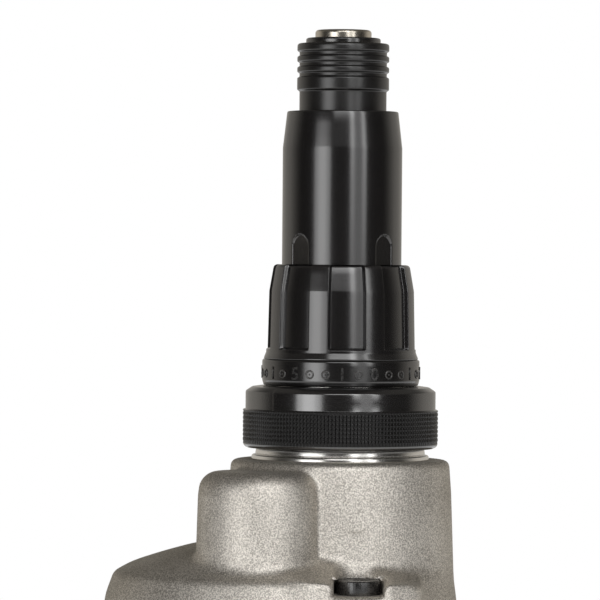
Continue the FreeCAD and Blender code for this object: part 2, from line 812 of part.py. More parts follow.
def make_gear_train():
    """Two spur stages: motor pinion, layshaft and the clutch gear on its dead pin."""
    to_layshaft = math.atan2(number("layshaft_y"), number("layshaft_x + motor_offset"))
    to_spindle = math.atan2(number("0 - layshaft_y"), number("0 - layshaft_x"))
    gear_phase = meshing_phase(0.0, "motor_pinion_teeth", "layshaft_gear_teeth", to_layshaft)
    clutch_phase = meshing_phase(0.0, "layshaft_pinion_teeth", "spindle_gear_teeth", to_spindle)
    layshaft = {"x": "layshaft_x", "y": "layshaft_y"}

    pinion = toothed("pinion_teeth", "fast_module", "motor_pinion_teeth", "motor_pinion_width",
                     "shaft_radius + seat_gap", 0.0)
    keep(pinion, "motor_pinion", x="0 - motor_offset", z="motor_pinion_z")

    wheel = toothed("layshaft_wheel", "fast_module", "layshaft_gear_teeth", "layshaft_gear_width",
                    "layshaft_radius + seat_gap", gear_phase)
    keep(wheel, "layshaft_gear", z="layshaft_gear_z", **layshaft)

    stem = "layshaft_gear_z + layshaft_gear_width - layshaft_foot_z"
    teeth_foot = "layshaft_pinion_z - layshaft_foot_z"
    bar = turned("layshaft_bar", [
        ("0", "0"), ("layshaft_radius", "0"), ("layshaft_radius", stem),
        ("layshaft_spacer_radius", stem), ("layshaft_spacer_radius", f"{teeth_foot} + spacer_lap"),
        ("layshaft_radius", f"{teeth_foot} + spacer_lap"),
        ("layshaft_radius", "layshaft_top_z - layshaft_foot_z"),
        ("0", "layshaft_top_z - layshaft_foot_z")])
    teeth = toothed("layshaft_teeth", "slow_module", "layshaft_pinion_teeth",
                    "layshaft_pinion_width", "0", 0.0)
    place(teeth, z=teeth_foot)
    keep(joined("layshaft_whole", [bar, teeth]), "layshaft", z="layshaft_foot_z", **layshaft)

    for label, z in (("layshaft_front_bush", "layshaft_top_z - layshaft_bush_length"),
                     ("layshaft_rear_bush", "layshaft_foot_z")):
        bush = ring(label + "_ring", "layshaft_radius + running_gap", "layshaft_bush_radius",
                    "layshaft_bush_length")
        keep(bush, label, z=z, **layshaft)

    clutch = toothed("clutch_teeth", "slow_module", "spindle_gear_teeth", "spindle_gear_width",
                     "gear_bush_radius + seat_gap", clutch_phase)
    dogs = [clutch]
    for dog in range(int(number("dog_count"))):
        solid = cylinder(f"gear_dog_{dog}", "dog_radius", "spindle_gear_width / 2 + dog_height",
                         z="spindle_gear_width / 2", angle="dog_angle",
                         turn=f"{dog} * 360 / dog_count - dog_angle / 2")
        bore = cylinder(f"gear_dog_bore_{dog}", "spring_bore + travel_gap", "4 * dog_height",
                        z="spindle_gear_width / 2")
        dogs.append(carved(f"gear_dog_ring_{dog}", solid, [bore]))
    keep(joined("clutch_gear", dogs), "spindle_gear", z="gear_z")

    bush_height = "spindle_gear_width + dog_height"
    bush = ring("gear_bush_ring", "pin_radius + running_gap", "gear_bush_radius", bush_height)
    keep(bush, "gear_bush", z="gear_z")

    shoulder = "pin_seat + gear_z - turn_gap - (plate_top_z + plate_boss_height)"
    tip = "washer_z + washer_height + pin_reach - pin_foot_z"
    pin = turned("pin_bar", [
        ("0", "0"), ("pin_radius", "0"), ("pin_radius", "pin_seat"),
        ("pin_shoulder_radius", "pin_seat"), ("pin_shoulder_radius", shoulder),
        ("pin_radius", shoulder), ("pin_radius", tip), ("0", tip)])
    keep(pin, "gear_pin", z="pin_foot_z")

    clip = ring("pin_ring", "pin_radius + seat_gap", "pin_clip_radius", "pin_clip_height")
    keep(clip, "pin_clip", z="pin_clip_z")


def screw_spots():
    """Centre and seat height of each gear case screw."""
    near = "screw_reach_x - motor_offset"
    far = "0 - screw_reach_x - motor_offset"
    high = "joint_z + screw_seat_rise"
    return [
        (near, "0 - screw_reach_y", high), (near, "screw_reach_y", high),
        (far, "screw_reach_y", high),
        ("0 - lug_reach - motor_offset", "0", "joint_z + lug_seat_rise")]


def make_gear_case():
    """Cast case: barrel, layshaft boss and wide foot, hollowed for the gears."""
    foot = turned("case_foot", [
        ("0", "0"), ("case_foot_radius", "0"), ("case_side_radius", "case_side_rise"),
        ("case_rim_radius", "case_rim_rise"), ("case_brow_radius", "case_brow_rise"),
        ("case_roof_radius", "case_roof_rise"), ("0", "case_roof_rise")])
    place(foot, x="0 - motor_offset", z="joint_z")
    barrel = turned("case_barrel", [
        ("0", "case_height - barrel_foot_drop"),
        ("barrel_foot_radius", "case_height - barrel_foot_drop"),
        ("barrel_waist_radius", "case_height - barrel_waist_drop"),
        ("barrel_top_radius", "case_height"), ("0", "case_height")])
    rounded(barrel, "barrel_round", circle_at("barrel_top_radius", "case_height"))
    place(barrel, z="joint_z")
    boss_foot = "plate_height"
    boss = turned("case_boss", [
        ("0", boss_foot), ("boss_radius", boss_foot), ("boss_radius", "case_height - boss_drop"),
        ("0", "case_height - boss_drop")])
    rounded(boss, "boss_round", circle_at("boss_radius", "case_height - boss_drop"))
    place(boss, "layshaft_x", "layshaft_y", "joint_z")
    spots = screw_spots()
    lug_x, lug_y, lug_z = spots[3]
    lug = cylinder("case_lug", "lug_radius", "lug_seat_rise", lug_x, lug_y, "joint_z")
    web = block("case_lug_web", "lug_radius", "2 * lug_radius", "lug_seat_rise", lug_x, lug_y,
                "joint_z")
    outside = joined("case_outside", [foot, barrel, boss, lug, web])

    tip = "slow_module * (spindle_gear_teeth / 2 + tooth_addendum) + gear_room"
    pinion_tip = "slow_module * (layshaft_pinion_teeth / 2 + tooth_addendum) + gear_room"
    wheel_tip = "fast_module * (layshaft_gear_teeth / 2 + tooth_addendum) + gear_room"
    motor_tip = "fast_module * (motor_pinion_teeth / 2 + tooth_addendum) + gear_room"
    wheel_top = "layshaft_gear_z + layshaft_gear_width + gear_room"
    bush_foot = "layshaft_top_z - layshaft_bush_length"
    rooms = [
        cylinder("room_plate", "plate_radius + seat_gap", "plate_height", "0 - motor_offset",
                 z="joint_z"),
        cylinder("room_clutch", tip, "gear_z + spindle_gear_width + gear_room - plate_top_z",
                 z="plate_top_z"),
        cylinder("room_dogs", "dog_radius + gear_room", "neck_z - gear_z", z="gear_z"),
        cylinder("room_neck", "neck_spigot_radius + seat_gap", "2 * neck_spigot", z="neck_z"),
        cylinder("room_wheel", wheel_tip, f"{wheel_top} - plate_top_z", "layshaft_x", "layshaft_y",
                 "plate_top_z"),
        cylinder("room_pinion", pinion_tip, f"{bush_foot} - plate_top_z", "layshaft_x",
                 "layshaft_y", "plate_top_z"),
        cylinder("room_bush", "layshaft_bush_radius + seat_gap", "layshaft_bush_length + gear_room",
                 "layshaft_x", "layshaft_y", bush_foot),
        cylinder("room_motor", motor_tip, "motor_pinion_z + motor_pinion_width + 2 * gear_room "
                 "- plate_top_z", "0 - motor_offset", z="plate_top_z")]
    for index, (x, y, seat) in enumerate(spots):
        rooms.append(cylinder(f"room_screw_{index}", "screw_radius + running_gap", f"{seat} - joint_z",
                              x, y, "joint_z"))
        if index < 3:
            rooms.append(cylinder(f"notch_{index}", "notch_radius", "notch_height", x, y, seat))
    keep(carved("case_hollow", outside, rooms), "gear_housing")

    screws = []
    for index, (x, y, seat) in enumerate(spots):
        length = f"{seat} - joint_z + screw_depth"
        bar = turned(f"case_screw_{index}", [
            ("0", "0"), ("screw_radius", "0"), ("screw_radius", length),
            ("screw_head_radius", length), ("screw_head_radius", f"{length} + screw_head_height"),
            ("0", f"{length} + screw_head_height")])
        key = bind(doc.addObject("Part::Prism", f"case_screw_key_{index}"),
                   Circumradius="screw_socket / sqrt(3)", Height="screw_head_height")
        place(key, z=f"{length} + screw_head_height / 2")
        screw = carved(f"case_screw_cut_{index}", bar, [key])
        screws.append(place(screw, x, y, "joint_z - screw_depth"))
    keep(grouped("case_screw_set", screws), "gear_housing_screws")


def make_gear_plate():
    """Plate between motor and gears: seats for the motor bearing, the dead pin and the layshaft."""
    disc = cylinder("plate_disc", "plate_radius", "plate_height", "0 - motor_offset")
    hub = cylinder("plate_hub", "plate_boss_radius", "plate_height + plate_boss_height")
    seats = [
        cylinder("plate_bearing_seat", "front_bearing_radius + seat_gap", "front_bearing_width",
                 "0 - motor_offset"),
        cylinder("plate_shaft_hole", "shaft_radius + travel_gap", "2 * plate_height",
                 "0 - motor_offset"),
        cylinder("plate_pin_hole", "pin_radius + seat_gap", "2 * pin_seat",
                 z="plate_height + plate_boss_height - pin_seat"),
        cylinder("plate_bush_seat", "layshaft_bush_radius + seat_gap", "2 * layshaft_bush_length",
                 "layshaft_x", "layshaft_y", "plate_height - layshaft_bush_length")]
    for index, (x, y, seat) in enumerate(screw_spots()[:3]):
        seats.append(cylinder(f"plate_screw_{index}", "screw_radius + travel_gap",
                              "2 * plate_height", x, y, "0 - plate_height / 2"))
    keep(carved("plate_cut", joined("plate_blank", [disc, hub]), seats), "gear_plate", z="joint_z")


def make_motor():
    """Universal motor: armature on its shaft and bearings, field and brushes."""
    axis = {"x": "0 - motor_offset"}
    shaft_top = "motor_pinion_z + motor_pinion_width + gear_room - rear_bearing_z"
    shaft = turned("shaft_bar", [
        ("0", "0"), ("rear_bearing_bore", "0"), ("rear_bearing_bore", "rear_bearing_width"),
        ("shaft_radius", "rear_bearing_width"), ("shaft_radius", shaft_top), ("0", shaft_top)])
    keep(shaft, "armature_shaft", z="rear_bearing_z", **axis)

    snug = "shaft_radius + seat_gap"
    disc = ring("core_disc", snug, "core_radius", "core_length")
    slots = []
    for slot in range(int(number("core_slots"))):
        bar = block(f"core_slot_{slot}", "core_slot_depth + cut_margin", "core_slot_width", "core_length",
                    "0", "0", "0")
        arm = f"{slot} * 360 / core_slots"
        reach = "core_radius - core_slot_depth"
        place(bar, f"({reach}) * cos({arm}) + core_slot_width / 2 * sin({arm})",
              f"({reach}) * sin({arm}) - core_slot_width / 2 * cos({arm})", turn=arm)
        slots.append(bar)
    keep(carved("core_stack", disc, slots), "armature_core", z="core_z", **axis)

    ends = []
    for name, z in (("rear", "0 - winding_reach"), ("front", "core_length")):
        bundle = ring(f"winding_{name}", snug, "winding_radius", "winding_reach")
        outer = "0" if name == "rear" else "winding_reach"
        rounded(bundle, "winding_reach / 3", circle_at("winding_radius", outer))
        ends.append(place(bundle, z=z))
    keep(grouped("windings", ends), "armature_windings", z="core_z", **axis)

    drum = ring("commutator_drum", snug, "commutator_radius", "commutator_length")
    slits = []
    for slit in range(int(number("commutator_bars"))):
        arm = f"{slit} * 360 / commutator_bars"
        bar = block(f"commutator_slit_{slit}", "slit_depth + cut_margin", "slit_width",
                    "commutator_length", "0", "0", "0")
        place(bar, f"(commutator_radius - slit_depth) * cos({arm})",
              f"(commutator_radius - slit_depth) * sin({arm})", turn=arm)
        slits.append(bar)
    keep(carved("commutator_cut", drum, slits), "commutator", z="commutator_z", **axis)

    blades = [ring("fan_disc_ring", "fan_hub_radius - fan_blade_width", "fan_radius", "fan_disc"),
              ring("fan_hub", snug, "fan_hub_radius", "fan_height")]
    for blade in range(int(number("fan_blades"))):
        arm = f"{blade} * 360 / fan_blades"
        root = "(fan_hub_radius - fan_blade_width)"
        vane = block(f"fan_blade_{blade}", f"fan_radius - fan_disc - {root}", "fan_blade_width",
                     "fan_height - fan_disc / 2", "0", "0", "0")
        place(vane, f"{root} * cos({arm}) + fan_blade_width / 2 * sin({arm})",
              f"{root} * sin({arm}) - fan_blade_width / 2 * cos({arm})", "fan_disc / 2", arm)
        blades.append(vane)
    keep(joined("fan_wheel", blades), "motor_fan", z="fan_z", **axis)

    bearings = (("motor_front_bearing", "shaft_radius", "front_bearing_radius",
                 "front_bearing_width", "joint_z"),
                ("motor_rear_bearing", "rear_bearing_bore", "rear_bearing_radius",
                 "rear_bearing_width", "rear_bearing_z"))
    for label, bore, radius, width, z in bearings:
        dip = "bearing_race / 4"
        inner = f"{bore} + bearing_race"
        outer = f"{radius} - bearing_race"
        bearing = turned(label + "_ring", [
            (f"{bore} + running_gap", "0"), (inner, "0"), (inner, dip), (outer, dip), (outer, "0"),
            (radius, "0"), (radius, width), (outer, width), (outer, f"{width} - {dip}"),
            (inner, f"{width} - {dip}"), (inner, width), (f"{bore} + running_gap", width)])
        keep(bearing, label, z=z, **axis)

    yoke = ring("field_yoke_ring", "field_radius - field_yoke", "field_radius", "field_length")
    shoe_ring = ring("pole_shoe_ring", "pole_bore", "pole_bore + pole_shoe", "field_length")
    iron, coils = [yoke], []
    for side, start in (("front", "270"), ("back", "90")):
        wedge = cylinder(f"pole_wedge_{side}", "field_radius", "field_length", angle="pole_angle",
                         turn=f"{start} - pole_angle / 2")
        iron.append(overlap(f"pole_{side}", shoe_ring, wedge))
        sign = "0 - " if side == "front" else ""
        stem = block(f"pole_stem_{side}", "pole_width", "field_radius - field_yoke / 2 - pole_bore "
                     "- pole_shoe / 2", "field_length", "0 - pole_width / 2",
                     f"{sign}(field_radius - field_yoke / 2 + pole_bore + pole_shoe / 2) / 2", "0")
        iron.append(stem)
        annulus = ring(f"coil_ring_{side}", "pole_bore + pole_shoe + coil_gap",
                       "field_radius - field_yoke - coil_gap", "field_length + 2 * coil_reach")
        place(annulus, z="0 - coil_reach")
        sector = cylinder(f"coil_wedge_{side}", "field_radius", "field_length + 2 * coil_reach",
                          z="0 - coil_reach", angle="coil_angle",
                          turn=f"{start} - coil_angle / 2")
        window = block(f"coil_window_{side}", "pole_width + 2 * coil_gap", "2 * field_radius",
                       "field_length + 2 * coil_gap", "0 - pole_width / 2 - coil_gap", "0",
                       "0 - coil_gap")
        coils.append(carved(f"coil_{side}", overlap(f"coil_band_{side}", annulus, sector), [window]))
    keep(joined("field_iron", iron), "field_core", z="field_z", **axis)
    keep(grouped("field_windings", coils), "field_coils", z="field_z", **axis)

    plate = ring("baffle_ring", "winding_radius + baffle_gap", "shell_bore - seat_gap", "baffle_height")
    keep(plate, "fan_baffle", z="fan_z - baffle_drop", **axis)


def make_brushes():
    """Brush gear on both sides of the commutator: tubes, carbons and screw caps."""
    tubes, carbons, caps = [], [], []
    inner = "commutator_radius + travel_gap"
    tube_width = "brush_width + 2 * brush_tube_wall"
    tube_height = "brush_height + 2 * brush_tube_wall"
    cap_floor = "shell_radius - brush_cap_depth"
    for side, sign in (("front", "0 - "), ("back", "")):
        length = f"{cap_floor} - commutator_radius - tube_setback"
        middle = f"{sign}(commutator_radius + tube_setback + {cap_floor}) / 2"
        tube = block(f"tube_{side}", tube_width, length, tube_height, f"0 - ({tube_width}) / 2",
                     middle, f"0 - ({tube_height}) / 2")
        slide = block(f"tube_slide_{side}", "brush_width + 2 * running_gap", "2 * shell_radius",
                      "brush_height + 2 * running_gap", "0 - brush_width / 2 - running_gap", middle,
                      "0 - brush_height / 2 - running_gap")
        tubes.append(carved(f"tube_cut_{side}", tube, [slide]))
        carbons.append(block(f"carbon_{side}", "brush_width", "brush_length", "brush_height",
                             "0 - brush_width / 2", f"{sign}({inner} + brush_length / 2)",
                             "0 - brush_height / 2"))
        cap = crossbar(f"cap_{side}", "brush_cap_radius", "brush_cap_depth", "0",
                       f"{sign}({cap_floor}) {'- brush_cap_depth' if sign else ''}", "0")
        slot = block(f"cap_slot_{side}", "2 * (brush_cap_radius - cap_slot_margin)",
                     "2 * cap_slot_depth", "cap_slot_width", "cap_slot_margin - brush_cap_radius",
                     f"{sign}shell_radius", "0 - cap_slot_width / 2")
        caps.append(carved(f"cap_cut_{side}", cap, [slot]))
    where = {"x": "0 - motor_offset", "z": "brush_z"}
    keep(grouped("brush_tubes", tubes), "brush_holders", **where)
    keep(grouped("brush_carbons", carbons), "carbon_brushes", **where)
    keep(grouped("brush_cap_set", caps), "brush_caps", **where)


def make_motor_housing():
    """Moulded barrel round the motor, with the rear bearing spider and the screw columns."""
    base = "spigot_length"
    top = "spigot_length + motor_length"
    spigot = "shell_radius - handle_wall - seat_gap"
    barrel = turned("housing_barrel", [
        (f"{spigot} - spigot_wall", "0"), (spigot, "0"), (spigot, base), ("shell_radius", base),
        ("case_foot_radius", top), ("shell_bore", top), ("shell_bore", f"{base} + spider_height"),
        (f"{spigot} - spigot_wall", f"{base} + spider_height")])
    boss_foot = "rear_bearing_z - rear_height + spigot_length"
    boss = cylinder("spider_boss", "rear_bearing_radius + spider_boss_wall",
                    f"{base} + spider_height - ({boss_foot})", z=boss_foot)
    parts = [barrel, boss]
    for arm in range(int(number("spider_arms"))):
        angle = f"({arm} + 0.5) * 360 / spider_arms"
        half = "(rear_bearing_radius + spider_boss_wall) / 2"
        spoke = block(f"spider_spoke_{arm}", "shell_bore - rear_bearing_radius", half,
                      "spider_height", "0", "0", "0")
        place(spoke, f"rear_bearing_radius * cos({angle}) + {half} / 2 * sin({angle})",
              f"rear_bearing_radius * sin({angle}) - {half} / 2 * cos({angle})", base, angle)
        parts.append(spoke)
        rib = cylinder(f"field_rib_{arm}", "shell_bore + shell_wall / 2", "field_length",
                       z="field_z - rear_height + spigot_length", angle="pad_angle",
                       turn=f"{angle} - pad_angle / 2")
        space = cylinder(f"field_space_{arm}", "field_radius + seat_gap", "2 * field_length",
                         z="field_z - rear_height")
        parts.append(carved(f"field_pad_{arm}", rib, [space]))
    column_height = "screw_depth + screw_radius"
    column_foot = f"{top} - ({column_height})"
    envelope = cylinder("column_envelope", "shell_radius", column_height, z=column_foot)
    for index, (x, y, _) in enumerate(screw_spots()[:3]):
        column = cylinder(f"column_{index}", "screw_column", column_height, f"{x} + motor_offset", y,
                          column_foot)
        parts.append(overlap(f"column_trim_{index}", column, envelope))
    lug = cylinder("housing_lug", "lug_radius", column_height, "0 - lug_reach", "0", column_foot)
    web = block("housing_lug_web", "lug_radius", "2 * lug_radius", column_height, "0 - lug_reach",
                "0", column_foot)
    brush_rise = "brush_rise + spigot_length"
    tunnel = "brush_cap_radius + tunnel_wall"
    tunnel_foot = "commutator_radius + tunnel_setback"
    for side, foot in (("front", "0 - shell_radius"), ("back", tunnel_foot)):
        parts.append(crossbar(f"brush_tunnel_{side}", tunnel, f"shell_radius - ({tunnel_foot})", "0",
                              foot, brush_rise))
    cuts = [
        cylinder("spider_seat", "rear_bearing_radius + seat_gap", "rear_bearing_width", z=boss_foot),
        cylinder("spider_hole", "shaft_radius + travel_gap", "motor_length", z=boss_foot)]
    for index, (x, y, _) in enumerate(screw_spots()):
        cuts.append(cylinder(f"column_hole_{index}", "screw_radius", "screw_depth",
                             f"{x} + motor_offset", y, f"{top} - screw_depth"))
    tube_width = "brush_width + 2 * brush_tube_wall"
    tube_height = "brush_height + 2 * brush_tube_wall"
    cuts.append(block("brush_slot", tube_width, "2 * shell_radius - 2 * brush_cap_depth",
                      tube_height, f"0 - ({tube_width}) / 2", "0",
                      f"{brush_rise} - ({tube_height}) / 2"))
    for side, foot in (("front", "0 - shell_radius - cut_margin"),
                       ("back", "shell_radius - brush_cap_depth")):
        cuts.append(crossbar(f"brush_cap_hole_{side}", "brush_cap_radius + seat_gap",
                             "brush_cap_depth + cut_margin", "0", foot, brush_rise))
    for vent in range(int(number("vent_count"))):
        angle = f"({vent} + 0.5) * 360 / vent_count"
        slot = block(f"vent_{vent}", "2 * shell_wall", "vent_width", "vent_height", "0", "0", "0")
        place(slot, f"(shell_bore - cut_margin) * cos({angle}) + vent_width / 2 * sin({angle})",
              f"(shell_bore - cut_margin) * sin({angle}) - vent_width / 2 * cos({angle})",
              f"{top} - vent_drop", angle)
        cuts.append(slot)
    flute_foot = f"{brush_rise} + {tunnel} + flute_margin / 2"
    flute_length = f"{top} - vent_drop - flute_margin / 2 - ({flute_foot})"
    for flute in range(int(number("flute_count"))):
        angle = f"({flute} + 0.5) * 360 / flute_count"
        reach = "shell_radius + flute_radius - flute_sink"
        cuts.append(cylinder(f"flute_{flute}", "flute_radius", flute_length,
                             f"({reach}) * cos({angle})", f"({reach}) * sin({angle})", flute_foot))
    inside = cylinder("housing_bore", "shell_bore", column_height, z=column_foot)
    parts.append(carved("housing_lug_trim", joined("housing_lug_blank", [lug, web]), [inside]))
    keep(carved("housing_cut", joined("housing_blank", parts), cuts), "motor_housing",
         x="0 - motor_offset", z="rear_height - spigot_length")


def handle_form(name, inset):
    """The rear cap and the pistol grip as one solid, all faces set in by a wall."""
    cap = turned(name + "_cap", [
        ("0", inset), (f"shell_radius - ({inset})", inset),
        (f"shell_radius - ({inset})", "rear_height"), ("0", "rear_height")])
    rounded(cap, f"back_round - ({inset})", circle_at(f"shell_radius - ({inset})", inset))
    place(cap, x="0 - motor_offset")

    grip = doc.addObject("PartDesign::Body", name + "_grip")
    side = sketch_on(grip, "XZ_Plane", name + "_side")
    foot = f"({inset}) - handle_reach"
    polygon(side, [
        ("0 - motor_offset", inset), (foot, inset), (foot, f"handle_foot_depth - ({inset})"),
        ("0 - handle_reach + 2 * handle_foot_round", f"handle_foot_depth - ({inset})"),
        ("0 - handle_waist_reach", f"handle_waist_depth - ({inset})"),
        ("0 - trigger_bay_reach", f"handle_neck_depth - ({inset})"),
        ("0 - motor_offset", f"handle_neck_depth - ({inset})")])
    pad = grip.newObject("PartDesign::Pad", name + "_pad")
    pad.Profile = side
    pad.Midplane = True
    bind(pad, Length=f"handle_width - 2 * ({inset})")
    doc.recompute()
    end = number(foot)
    half = number(f"handle_width / 2 - ({inset})")

    def foot_corner(edge):
        return all(abs(v.X - end) < 1e-6 for v in edge.Vertexes) and edge.BoundBox.YLength > half

    def long_edge(edge):
        along = abs(abs(edge.CenterOfMass.y) - half) < 1e-6
        return along and edge.BoundBox.XLength > 1e-6
    rounded(grip, f"handle_foot_round - ({inset})", foot_corner)
    rounded(grip, f"handle_round - ({inset})", long_edge)
    return joined(name, [cap, grip])


def shell_screw_spots():
    """Places of the shell screws along X and Z."""
    return [("0 - handle_reach + foot_post_setback", "low_post_rise"),
            ("0 - button_reach - button_post_gap", "waist_post_rise"),
            ("0 - trigger_bay_reach - bay_post_setback", "low_post_rise"),
            ("0 - motor_offset - cap_post_reach", "cap_post_rise"),
            ("0 - motor_offset + cap_post_reach", "cap_post_rise")]


def make_handle():
    """Two handle shells with their screws."""
    outside = handle_form("handle_outside", "0")
    inside = handle_form("handle_inside", "handle_wall")
    hollow = carved("handle_hollow", outside, [inside])
    posts, cuts, screws = [], [], []
    for index, (x, z) in enumerate(shell_screw_spots()):
        posts.append(crossbar(f"post_{index}", "shell_post_radius", "2 * shell_radius", x,
                              "0 - shell_radius", z))
        cuts.append(crossbar(f"post_hole_{index}", "shell_screw_radius + seat_gap",
                             "2 * shell_screw_half", x, "0 - shell_screw_half", z))
        cuts.append(crossbar(f"post_head_{index}", "shell_screw_head_radius + travel_gap / 2",
                             "shell_radius", x, "0 - shell_screw_half - shell_radius", z))
        shank = crossbar(f"shell_shank_{index}", "shell_screw_radius",
                         "2 * shell_screw_half - cut_margin", x, "0 - shell_screw_half", z)
        head = crossbar(f"shell_head_{index}", "shell_screw_head_radius", "shell_screw_head_height",
                        x, "0 - shell_screw_half - shell_screw_head_height", z)
        screws.append(joined(f"shell_screw_{index}", [shank, head]))
    inner_posts = overlap("handle_posts", joined("handle_post_bars", posts), outside)
    gap = "travel_gap"
    cuts += [
        block("trigger_slot", f"trigger_length + 2 * {gap}", f"trigger_width + 2 * {gap}",
              "4 * handle_wall", f"0 - trigger_front - trigger_length - {gap}", "0",
              "handle_neck_depth - 2 * handle_wall"),
        crossbar("lever_hole", "lever_radius + control_gap", "handle_width * 3 / 4",
                 "0 - lever_reach", "0 - handle_width", "lever_rise"),
        crossbar("button_hole", "button_radius + control_gap", "handle_width * 3 / 4",
                 "0 - button_reach", "0 - handle_width", "button_rise")]
    throat = bind(doc.addObject("Part::Cylinder", "gland_throat"),
                  Radius="gland_radius + seat_gap", Height="4 * handle_wall")
    throat.Placement = Placement(Vector(), Rotation(Vector(0, 1, 0), 90))
    cuts.append(place(throat, "0 - handle_reach - handle_wall", "0", "gland_rise"))
    seat = bind(doc.addObject("Part::Cylinder", "gland_seat"),
                Radius="gland_radius + gland_flange + seat_gap", Height="gland_in")
    seat.Placement = Placement(Vector(), Rotation(Vector(0, 1, 0), 90))
    cuts.append(place(seat, "handle_wall - handle_reach", "0", "gland_rise"))
    for slot in range(int(number("intake_count"))):
        x = f"({slot} - (intake_count - 1) / 2) * intake_pitch - motor_offset - intake_width / 2"
        cuts.append(block(f"intake_{slot}", "intake_width", "3 * shell_radius", "intake_height", x,
                          "0", "intake_rise"))
    shell = carved("handle_shell", joined("handle_ribbed", [hollow, inner_posts]), cuts)
    length = "handle_reach + shell_radius + 2 * cut_margin"
    for label, y in (("handle_left", "0 - shell_radius"), ("handle_right", "shell_radius")):
        half = block(label + "_side", length, "2 * shell_radius", "rear_height + 2 * cut_margin",
                     "0 - handle_reach - cut_margin", y, "0 - cut_margin")
        keep(overlap(label + "_shell", shell, half), label)
    keep(grouped("shell_screw_set", screws), "handle_screws")


def make_controls():
    """Trigger and switch, reversing lever, lock-on button and cord inlet."""
    blade_foot = "trigger_seat + trigger_flange / 2"
    blade = block("trigger_blade", "trigger_length", "trigger_width",
                  f"handle_neck_depth + trigger_out - ({blade_foot})",
                  "0 - trigger_front - trigger_length", "0", blade_foot)
    scoop = crossbar("trigger_scoop", "trigger_length", "2 * trigger_width",
                     "0 - trigger_front - trigger_length / 2", "0 - trigger_width",
                     "handle_neck_depth + trigger_out + trigger_length - trigger_dip")
    flange = block("trigger_flange_block", "trigger_length + 2 * trigger_flange_lip",
                   "trigger_width + 2 * trigger_flange_lip", "trigger_flange",
                   "0 - trigger_front - trigger_length - trigger_flange_lip", "0", "trigger_seat")
    plunger = cylinder("trigger_plunger", "plunger_radius", "plunger_length",
                       "0 - trigger_front - trigger_length / 2", "0",
                       "trigger_seat - plunger_length")
    finger = carved("trigger_finger", blade, [scoop])
    keep(joined("trigger_whole", [finger, flange, plunger]), "trigger")

    middle = "0 - trigger_front - trigger_length / 2"
    case = block("switch_case", "switch_length", "switch_width", "switch_height",
                 f"{middle} - switch_length / 2", "0", "switch_floor")
    well = cylinder("switch_well", "plunger_radius + travel_gap", "switch_height", middle, "0",
                    "trigger_seat - plunger_length - trigger_travel - 2 * travel_gap")
    keep(carved("switch_cut", case, [well]), "switch_body")

    face = "0 - handle_width / 2"
    inner = "0 - handle_width / 2 + handle_wall + turn_gap"
    hub = crossbar("lever_hub", "lever_radius", f"{inner} - ({face}) + lever_flange", "0", face, "0")
    rim = crossbar("lever_rim", "lever_radius + lever_flange", "lever_flange", "0", inner, "0")
    bar = block("lever_bar", "2 * lever_radius - 1", "lever_bar_out + lever_flange",
                "lever_bar_width", "0.5 - lever_radius",
                f"{face} + (lever_flange - lever_bar_out) / 2", "0 - lever_bar_width / 2")
    keep(joined("lever_whole", [hub, rim, bar]), "reversing_lever", x="0 - lever_reach",
         z="lever_rise")

    stem = crossbar("button_stem", "button_radius", f"{inner} - ({face}) + button_out", "0",
                    f"{face} - button_out", "0")
    rim = crossbar("button_rim", "button_radius + button_flange", "button_flange", "0", inner, "0")
    keep(joined("button_whole", [stem, rim]), "lock_button", x="0 - button_reach", z="button_rise")

    wide = "gland_radius + gland_flange"
    outside = "gland_in + handle_wall + gland_out"
    gland = turned("gland", [
        ("gland_bore", "0"), ("gland_radius", "0"), ("gland_radius", "gland_in - gland_flange"),
        (wide, "gland_in - gland_flange"), (wide, "gland_in"), ("gland_radius", "gland_in"),
        ("gland_radius", outside), ("gland_bore", outside)])
    gland.Placement = Placement(Vector(), Rotation(Vector(0, 1, 0), -90))
    keep(gland, "cord_gland", x="handle_wall + gland_in - handle_reach", z="gland_rise")


def check_and_write():
    """Stop on any failed object or bad solid, then write each sub-part to its file."""
    doc.recompute()
    failed = [item.Name for item in doc.Objects
              if {"Invalid", "Error"} & set(item.State)]
    if failed:
        raise RuntimeError("failed objects: " + ", ".join(failed))
    for piece in pieces:
        if piece.Shape.isNull() or not piece.Shape.isValid() or not piece.Shape.Solids:
            raise RuntimeError("bad shape: " + piece.Label)
    os.makedirs("parts", exist_ok=True)
    for piece in pieces:
        piece.Shape.exportStep(os.path.join("parts", piece.Label + ".step"))
        print(f"{piece.Label}: {len(piece.Shape.Solids)} solid, {piece.Shape.Volume:.1f} mm3")


make_bit_holder()
make_chuck_collar()
make_depth_stop()
make_neck()
make_spindle()
make_gear_train()
make_gear_case()
make_gear_plate()
make_motor()
make_brushes()
make_motor_housing()
make_handle()
make_controls()
check_and_write()
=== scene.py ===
"""Looks of a drywall screwdriver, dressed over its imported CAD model.

The scene is in metres and the sizes below are in millimetres. The spindle axis is Z with the nose
up, and the front of the tool looks along -Y. In a turned piece a run is the longest stretch of its
outline that is left whole, a lining is the wall that a relief leaves as it is, and a touch is how
near two radii count as one.
"""

import logging
import math
from dataclasses import dataclass
from enum import Enum
from typing import Any, Callable

import bmesh
import bpy
import numpy as np
from mathutils import Matrix, Vector


